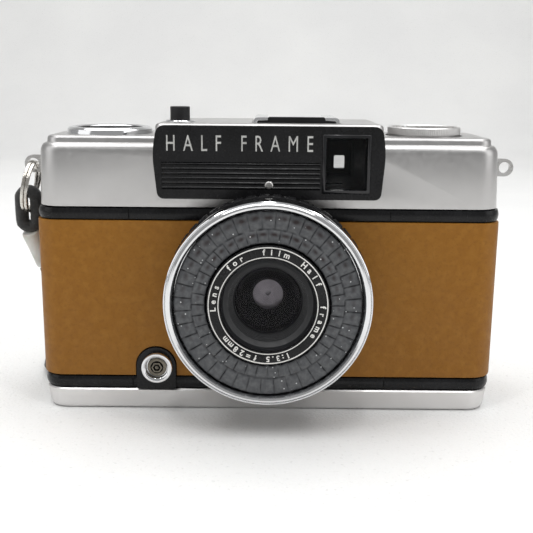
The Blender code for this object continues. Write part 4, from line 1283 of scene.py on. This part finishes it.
def make_hot_shoe():
    """Folded chrome rails round a black insulated seat with one contact, and its front stop."""
    low, high = SHOE_LOW, SHOE_HIGH
    y = (low.y, high.y)
    wall, lip = 0.7, 3.3
    rail = [(low.x, low.z), (high.x, low.z), (high.x, high.z), (high.x - lip, high.z),
            (high.x - lip, high.z - 0.65), (high.x - wall, high.z - 0.65), (high.x - wall, low.z + 0.5),
            (low.x + wall, low.z + 0.5), (low.x + wall, high.z - 0.65), (low.x + lip, high.z - 0.65),
            (low.x + lip, high.z), (low.x, high.z)]
    radii = [0.3, 0.3, 1.0, 0.15, 0.15, 0.4, 0.1, 0.1, 0.4, 0.15, 0.15, 1.0]
    shoe = extruded(fillet(rail, radii, 5, closed=True), y)
    mouth = [(high.y - 1.2, high.z + 1), (high.y + 1, high.z - 1.4), (high.y + 1, high.z + 1)]
    sides = ((low.x - 1, low.x + lip + 0.5), (high.x - lip - 0.5, high.x + 1))
    mouth = [extruded(mouth, x, "X") for x in sides]
    add("shoe_rails", combine(shoe, mouth), CHROME, "hot_shoe")
    seat = box((low.x + 0.9, high.x - 0.9), (low.y + 1.3, high.y - 0.9), (67.65, 67.95), 0.08)
    raised = box((low.x + 3.6, high.x - 3.6), (low.y + 1.4, high.y - 1.1), (67.7, 68.05), 0.1)
    add("shoe_seat_plate", combine(seat, joined=[raised]), PLASTIC, "shoe_insulator")
    outline = [(low.x + 0.75, low.z + 0.55), (high.x - 0.75, low.z + 0.55), (high.x - 0.75, high.z - 0.75),
               (high.x - 2.9, high.z - 0.7), (high.x - 3.5, high.z + 0.12), (low.x + 3.5, high.z + 0.12),
               (low.x + 2.9, high.z - 0.7), (low.x + 0.75, high.z - 0.75)]
    stop = extruded(fillet(outline, 0.35, 3, closed=True), (low.y + 0.05, low.y + 1.25), edge=0.12)
    add("shoe_stop", stop, PLASTIC)
    centre_x = (low.x + high.x) / 2
    contact = turned([(0.0, 68.2), (0.8, 68.18), (1.1, 68.06), (1.1, 67.9), (0.0, 67.9)],
                     (centre_x, 0.6, 0.0), segments=40)
    add("shoe_contact", contact, BRASS)
    for k, (dx, y) in enumerate(((-4.4, -4.4), (4.4, -4.4), (-4.4, 5.4), (4.4, 5.4))):
        spot = (centre_x + dx, y, 0.0)
        head = turned([(0.0, 68.22), (0.7, 68.2), (0.95, 68.05), (0.95, 67.9), (0.0, 67.9)], spot,
                      segments=32)
        cuts = cross_cut(spot[0], spot[1], 0.6, 0.12, (68.08, 69.0))
        add(f"shoe_screw_{k + 1}", combine(head, cuts), STEEL)


def make_counter():
    """Frame counter: chrome bezel, domed window, and a white-numbered dial under a red index."""
    centre = COUNTER
    bezel = [(10.35, 65.7), (10.35, 66.3), (10.2, 66.95), (9.75, 67.38), (9.1, 67.55), (8.5, 67.45),
             (8.2, 67.2), (8.2, 65.7)]
    add("counter_ring", turned(bezel, centre, segments=120, closed=True), CHROME, "counter_bezel")
    dome = [(0.0, 67.45)] + [(7.95 * k / 10, 67.45 - 0.6 * (k / 10) ** 2) for k in range(1, 11)]
    dome += [(7.95, 65.95), (0.0, 65.95)]
    add("counter_dome", turned(dome, centre, segments=80), PANE, "counter_window")
    dial = [(0.0, 65.2), (8.0, 65.2), (8.1, 65.1), (8.1, 64.75), (1.2, 64.75), (1.2, 57.7), (0.0, 57.7)]
    add("counter_disc", turned(dial, centre, segments=80), DIAL_BLACK, "counter_dial", body="counter_dial")
    marks = []
    for k in range(24):
        a = math.radians(90 - 15 * k)
        radial, along = Vector((math.cos(a), math.sin(a), 0.0)), Vector((math.sin(a), -math.cos(a), 0.0))
        base = Vector((COUNTER[0], COUNTER[1], 65.22))

        def place(out, across, up):
            return base + radial * out + along * across + Vector((0.0, 0.0, up))
        if k % 4 == 0:
            marks.append(letters(str(3 * k), 1.5, lambda x, y, z: place(5.4 + y, x, z), 0.05))
        marks.append(placed(box((6.8, 7.6), (-0.09, 0.09), (-0.02, 0.03)), place))
    add("counter_numbers", merged(*marks), WHITE, body="counter_dial", sharp=50)
    pointer = extruded([(COUNTER[0] - 0.5, COUNTER[1] - 8.0), (COUNTER[0] + 0.5, COUNTER[1] - 8.0),
                        (COUNTER[0], COUNTER[1] - 6.9)], (65.4, 65.55), "Z")
    add("counter_pointer", pointer, RED)


def make_rewind():
    """Knurled knob in its well, with the folding crank flush in its top, and the crank's own knob."""
    centre = CARTRIDGE
    knob = [(0.0, 67.0), (7.6, 67.0), (7.85, 67.15), (7.9, 67.9), (8.1, 68.05), (8.5, 68.05), (8.75, 67.85),
            (8.78, 67.6), (8.78, 66.3), (8.6, 66.1), (8.6, 63.75), (2.6, 63.75), (2.6, 63.35), (0.0, 63.35)]
    teeth = 120
    body = turned(knob, centre, segments=teeth * 4, shape=knurled(teeth, 0.12, 66.35, 67.75, 0.5))
    pocket = rod(2.4, (64.8, 75.0), (CARTRIDGE[0] - 4.6, CARTRIDGE[1], 0.0), 48)
    # The knob takes the lighter copy of the satin metal: painted light.
    add("rewind_knob_top", combine(body, [pocket]), SATIN_PAINTED_LIGHT, "rewind_knob", body="rewind_knob")
    low, high = span("rewind_crank")
    high.z -= 0.23         # the knob and its crank sit a little lower than the CAD ones
    low.z -= 0.2
    y = CARTRIDGE[1]
    outline = []
    for x, start, radius in ((low.x + 2.1, 90, 2.1), (high.x - 1.7, 270, 1.7)):
        for k in range(13):
            a = math.radians(start + 15 * k)
            outline.append((x + radius * math.cos(a), y + radius * math.sin(a)))
    arm = extruded(outline, (low.z, high.z), "Z", edge=0.14)
    hollow = extruded([(low.x + 4.6, y - 0.5), (high.x - 3.2, y - 0.4), (high.x - 3.2, y + 0.4),
                       (low.x + 4.6, y + 0.5)], (high.z - 0.22, high.z + 1), "Z")
    add("crank_arm", combine(arm, [hollow]), STEEL, "rewind_crank", body="rewind_crank")
    tip = (low.x + 2.2, y, 0.0)
    rivet = turned([(0.0, high.z + 0.18), (0.6, high.z + 0.14), (0.8, high.z), (0.0, high.z - 0.1)], tip,
                   segments=32)
    add("crank_rivet", rivet, CHROME, body="rewind_crank", slot="steel")
    grip = [(0.0, 67.35), (1.5, 67.35), (1.8, 67.1), (1.8, 65.6), (1.5, 65.3), (0.0, 65.3)]
    add("crank_grip", turned(grip, tip, segments=96, shape=knurled(16, 0.12, 65.5, 67.2, 0.6)), PLASTIC,
        "crank_knob", body="crank_knob")
    dress(BRASS, "rewind_sleeve")
    shaft = [(0.0, 62.9), (1.8, 62.9), (1.8, 46.2), (2.0, 46.0), (2.8, 46.0), (2.8, 42.0), (2.4, 41.5),
             (0.0, 41.5)]
    fork = turned(shaft, centre, segments=48)
    slot = box((CARTRIDGE[0] - 0.8, CARTRIDGE[0] + 0.8), (CARTRIDGE[1] - 4, CARTRIDGE[1] + 4), (40.0, 44.2))
    add("rewind_fork", combine(fork, [slot]), STEEL, "rewind_shaft", body="rewind_knob")


def make_film_drive():
    """Ribbed thumb wheel in the back of the cover, the slotted spool and the toothed sprocket."""
    wheel = [(11.3, 55.9), (11.5, 55.7), (11.5, 52.1), (11.3, 51.9), (1.6, 51.9), (1.6, 55.9)]
    bm = turned(wheel, (WHEEL.x, WHEEL.y, 0.0), segments=60 * 6, closed=True,
                shape=knurled(60, 0.4, 51.95, 55.85, 0.5))
    axle = turned([(1.5, 56.4), (1.5, 51.0), (0.0, 51.0), (0.0, 56.4)], (WHEEL.x, WHEEL.y, 0.0), segments=24)
    add("thumb_wheel", merged(bm, axle), ENAMEL, "advance_wheel", body="advance_wheel", sharp=40)
    spool_at = (*middle("take_up_spool").xy, 0.0)
    flanged = [(0.0, 47.6), (8.6, 47.6), (8.8, 47.4), (8.8, 46.6), (8.6, 46.4), (6.2, 46.4), (6.0, 46.1),
               (6.0, 6.3), (6.2, 6.0), (8.6, 6.0), (8.8, 5.8), (8.8, 5.0), (8.6, 4.8), (0.0, 4.8)]
    body = turned(flanged, spool_at, segments=72)
    slits = []
    for x in (spool_at[0] - 3.2, spool_at[0] + 3.2):
        slits.append(box((x - 0.6, x + 0.6), (-9.0, 9.0), (12.0, 41.0)))
    add("film_spool", combine(body, slits), PLASTIC, "take_up_spool", body="take_up_spool")
    at = (*middle("sprocket").xy, 0.0)
    profile = [(0.0, 47.4), (3.0, 47.4), (3.0, 46.6), (5.2, 46.5), (5.2, 43.0), (4.4, 42.4), (4.4, 19.6),
               (5.2, 19.0), (5.2, 15.6), (3.0, 15.5), (3.0, 4.6), (0.0, 4.6)]
    parts = [turned(profile, at, segments=64)]
    for z in (45.0, 17.2):
        for k in range(8):
            a = math.radians(45 * k)
            radial, along = Vector((math.cos(a), math.sin(a), 0.0)), Vector((-math.sin(a), math.cos(a), 0.0))
            tooth = stack(0.7, 0.55, 0.2, [(0.0, 5.0), (0.05, 5.6), (0.3, 6.0)], steps=3)
            root = Vector((at[0], at[1], z))
            placed(tooth, lambda x, y, out: root + radial * out + along * x + Vector((0.0, 0.0, y)))
            parts.append(tooth)
    add("film_sprocket", merged(*parts), PLASTIC, "sprocket", body="sprocket")


def make_meter():
    """The parts under the top cover, which only an opened camera would show."""
    low, high = span("meter_housing")
    can = stack((high.x - low.x) / 2, (high.y - low.y) / 2, 1.5,
                [(0.3, low.z), (0.0, low.z + 0.3), (0.0, high.z - 0.5), (0.5, high.z)],
                middle("meter_housing").xy)
    add("meter_can", can, BRASS, "meter_housing")
    dress(BLADE, "meter_needle")
    dress(RED, "low_light_flag")


# ---------------------------------------------------------------- studio

def light(name, place, aim, size, power, size_y=None):
    """A rectangular lamp at a place in metres, turned towards a point."""
    data = bpy.data.lights.new(name, "AREA")
    data.shape = "RECTANGLE"
    data.size = size
    data.size_y = size_y or size
    data.energy = power
    obj = bpy.data.objects.new(name, data)
    bpy.context.scene.collection.objects.link(obj)
    obj.location = place
    obj.rotation_euler = (Vector(aim) - Vector(place)).to_track_quat("-Z", "Y").to_euler()


def make_studio():
    """Pale paper that curves up behind the camera, and large soft lights above and at both sides."""
    paper = Look("pale_paper", (0.80, 0.80, 0.79), 0.75)
    paper.patches((0.76, 0.76, 0.755), 9.0)
    paper.tint((0.60, 0.60, 0.59), paper.ramp(paper.noise(900.0, 2.0), 0.62, 0.72, 0.0, 0.5))
    paper.uneven(90.0, 0.7, 0.85)
    paper.grain(1400.0, 0.25)
    bm = bmesh.new()
    profile = [(-900.0, 0.0), (650.0, 0.0)]
    for k in range(1, 17):
        a = math.radians(90 * k / 16)
        profile.append((650.0 + 350.0 * math.sin(a), 350.0 - 350.0 * math.cos(a)))
    profile.append((1000.0, 1600.0))
    rows = [[bm.verts.new((x, y, z)) for y, z in profile] for x in (-1800.0, 1800.0)]
    bridge(bm, rows, around=False, cap=False)
    add("paper_sweep", bm, paper.material, body=None)

    world = bpy.data.worlds.new("studio")
    bpy.context.scene.world = world
    world.use_nodes = True
    world.node_tree.nodes["Background"].inputs["Color"].default_value = (1.0, 1.0, 1.0, 1.0)
    world.node_tree.nodes["Background"].inputs["Strength"].default_value = 0.36
    light("key_above", (0.0, 0.1, 0.9), (0.0, 0.0, 0.03), 1.1, 8.6, 0.8)
    light("fill_left", (-1.1, -0.5, 0.5), (0.0, 0.0, 0.03), 0.9, 2.4, 0.9)
    light("fill_right", (1.1, -0.5, 0.5), (0.0, 0.0, 0.03), 0.9, 3.0, 0.9)
    for k in (-1, 0, 1):
        light(f"lamp_{k + 2}", (0.42 * k, -0.42, 0.85 - 0.08 * abs(k)), (0.0, 0.0, 0.03), 0.05, 0.9, 0.3)
    bpy.context.scene.view_settings.view_transform = "Standard"
    bpy.context.scene.view_settings.look = "None"


make_skins()
make_back_door()
make_latch()
make_bottom()
make_top_cover()
make_front_plate()
make_finder()
make_setting_rings()
make_lens()
make_sync_socket()
make_button()
make_hot_shoe()
make_counter()
make_rewind()
make_film_drive()
make_meter()
make_studio()
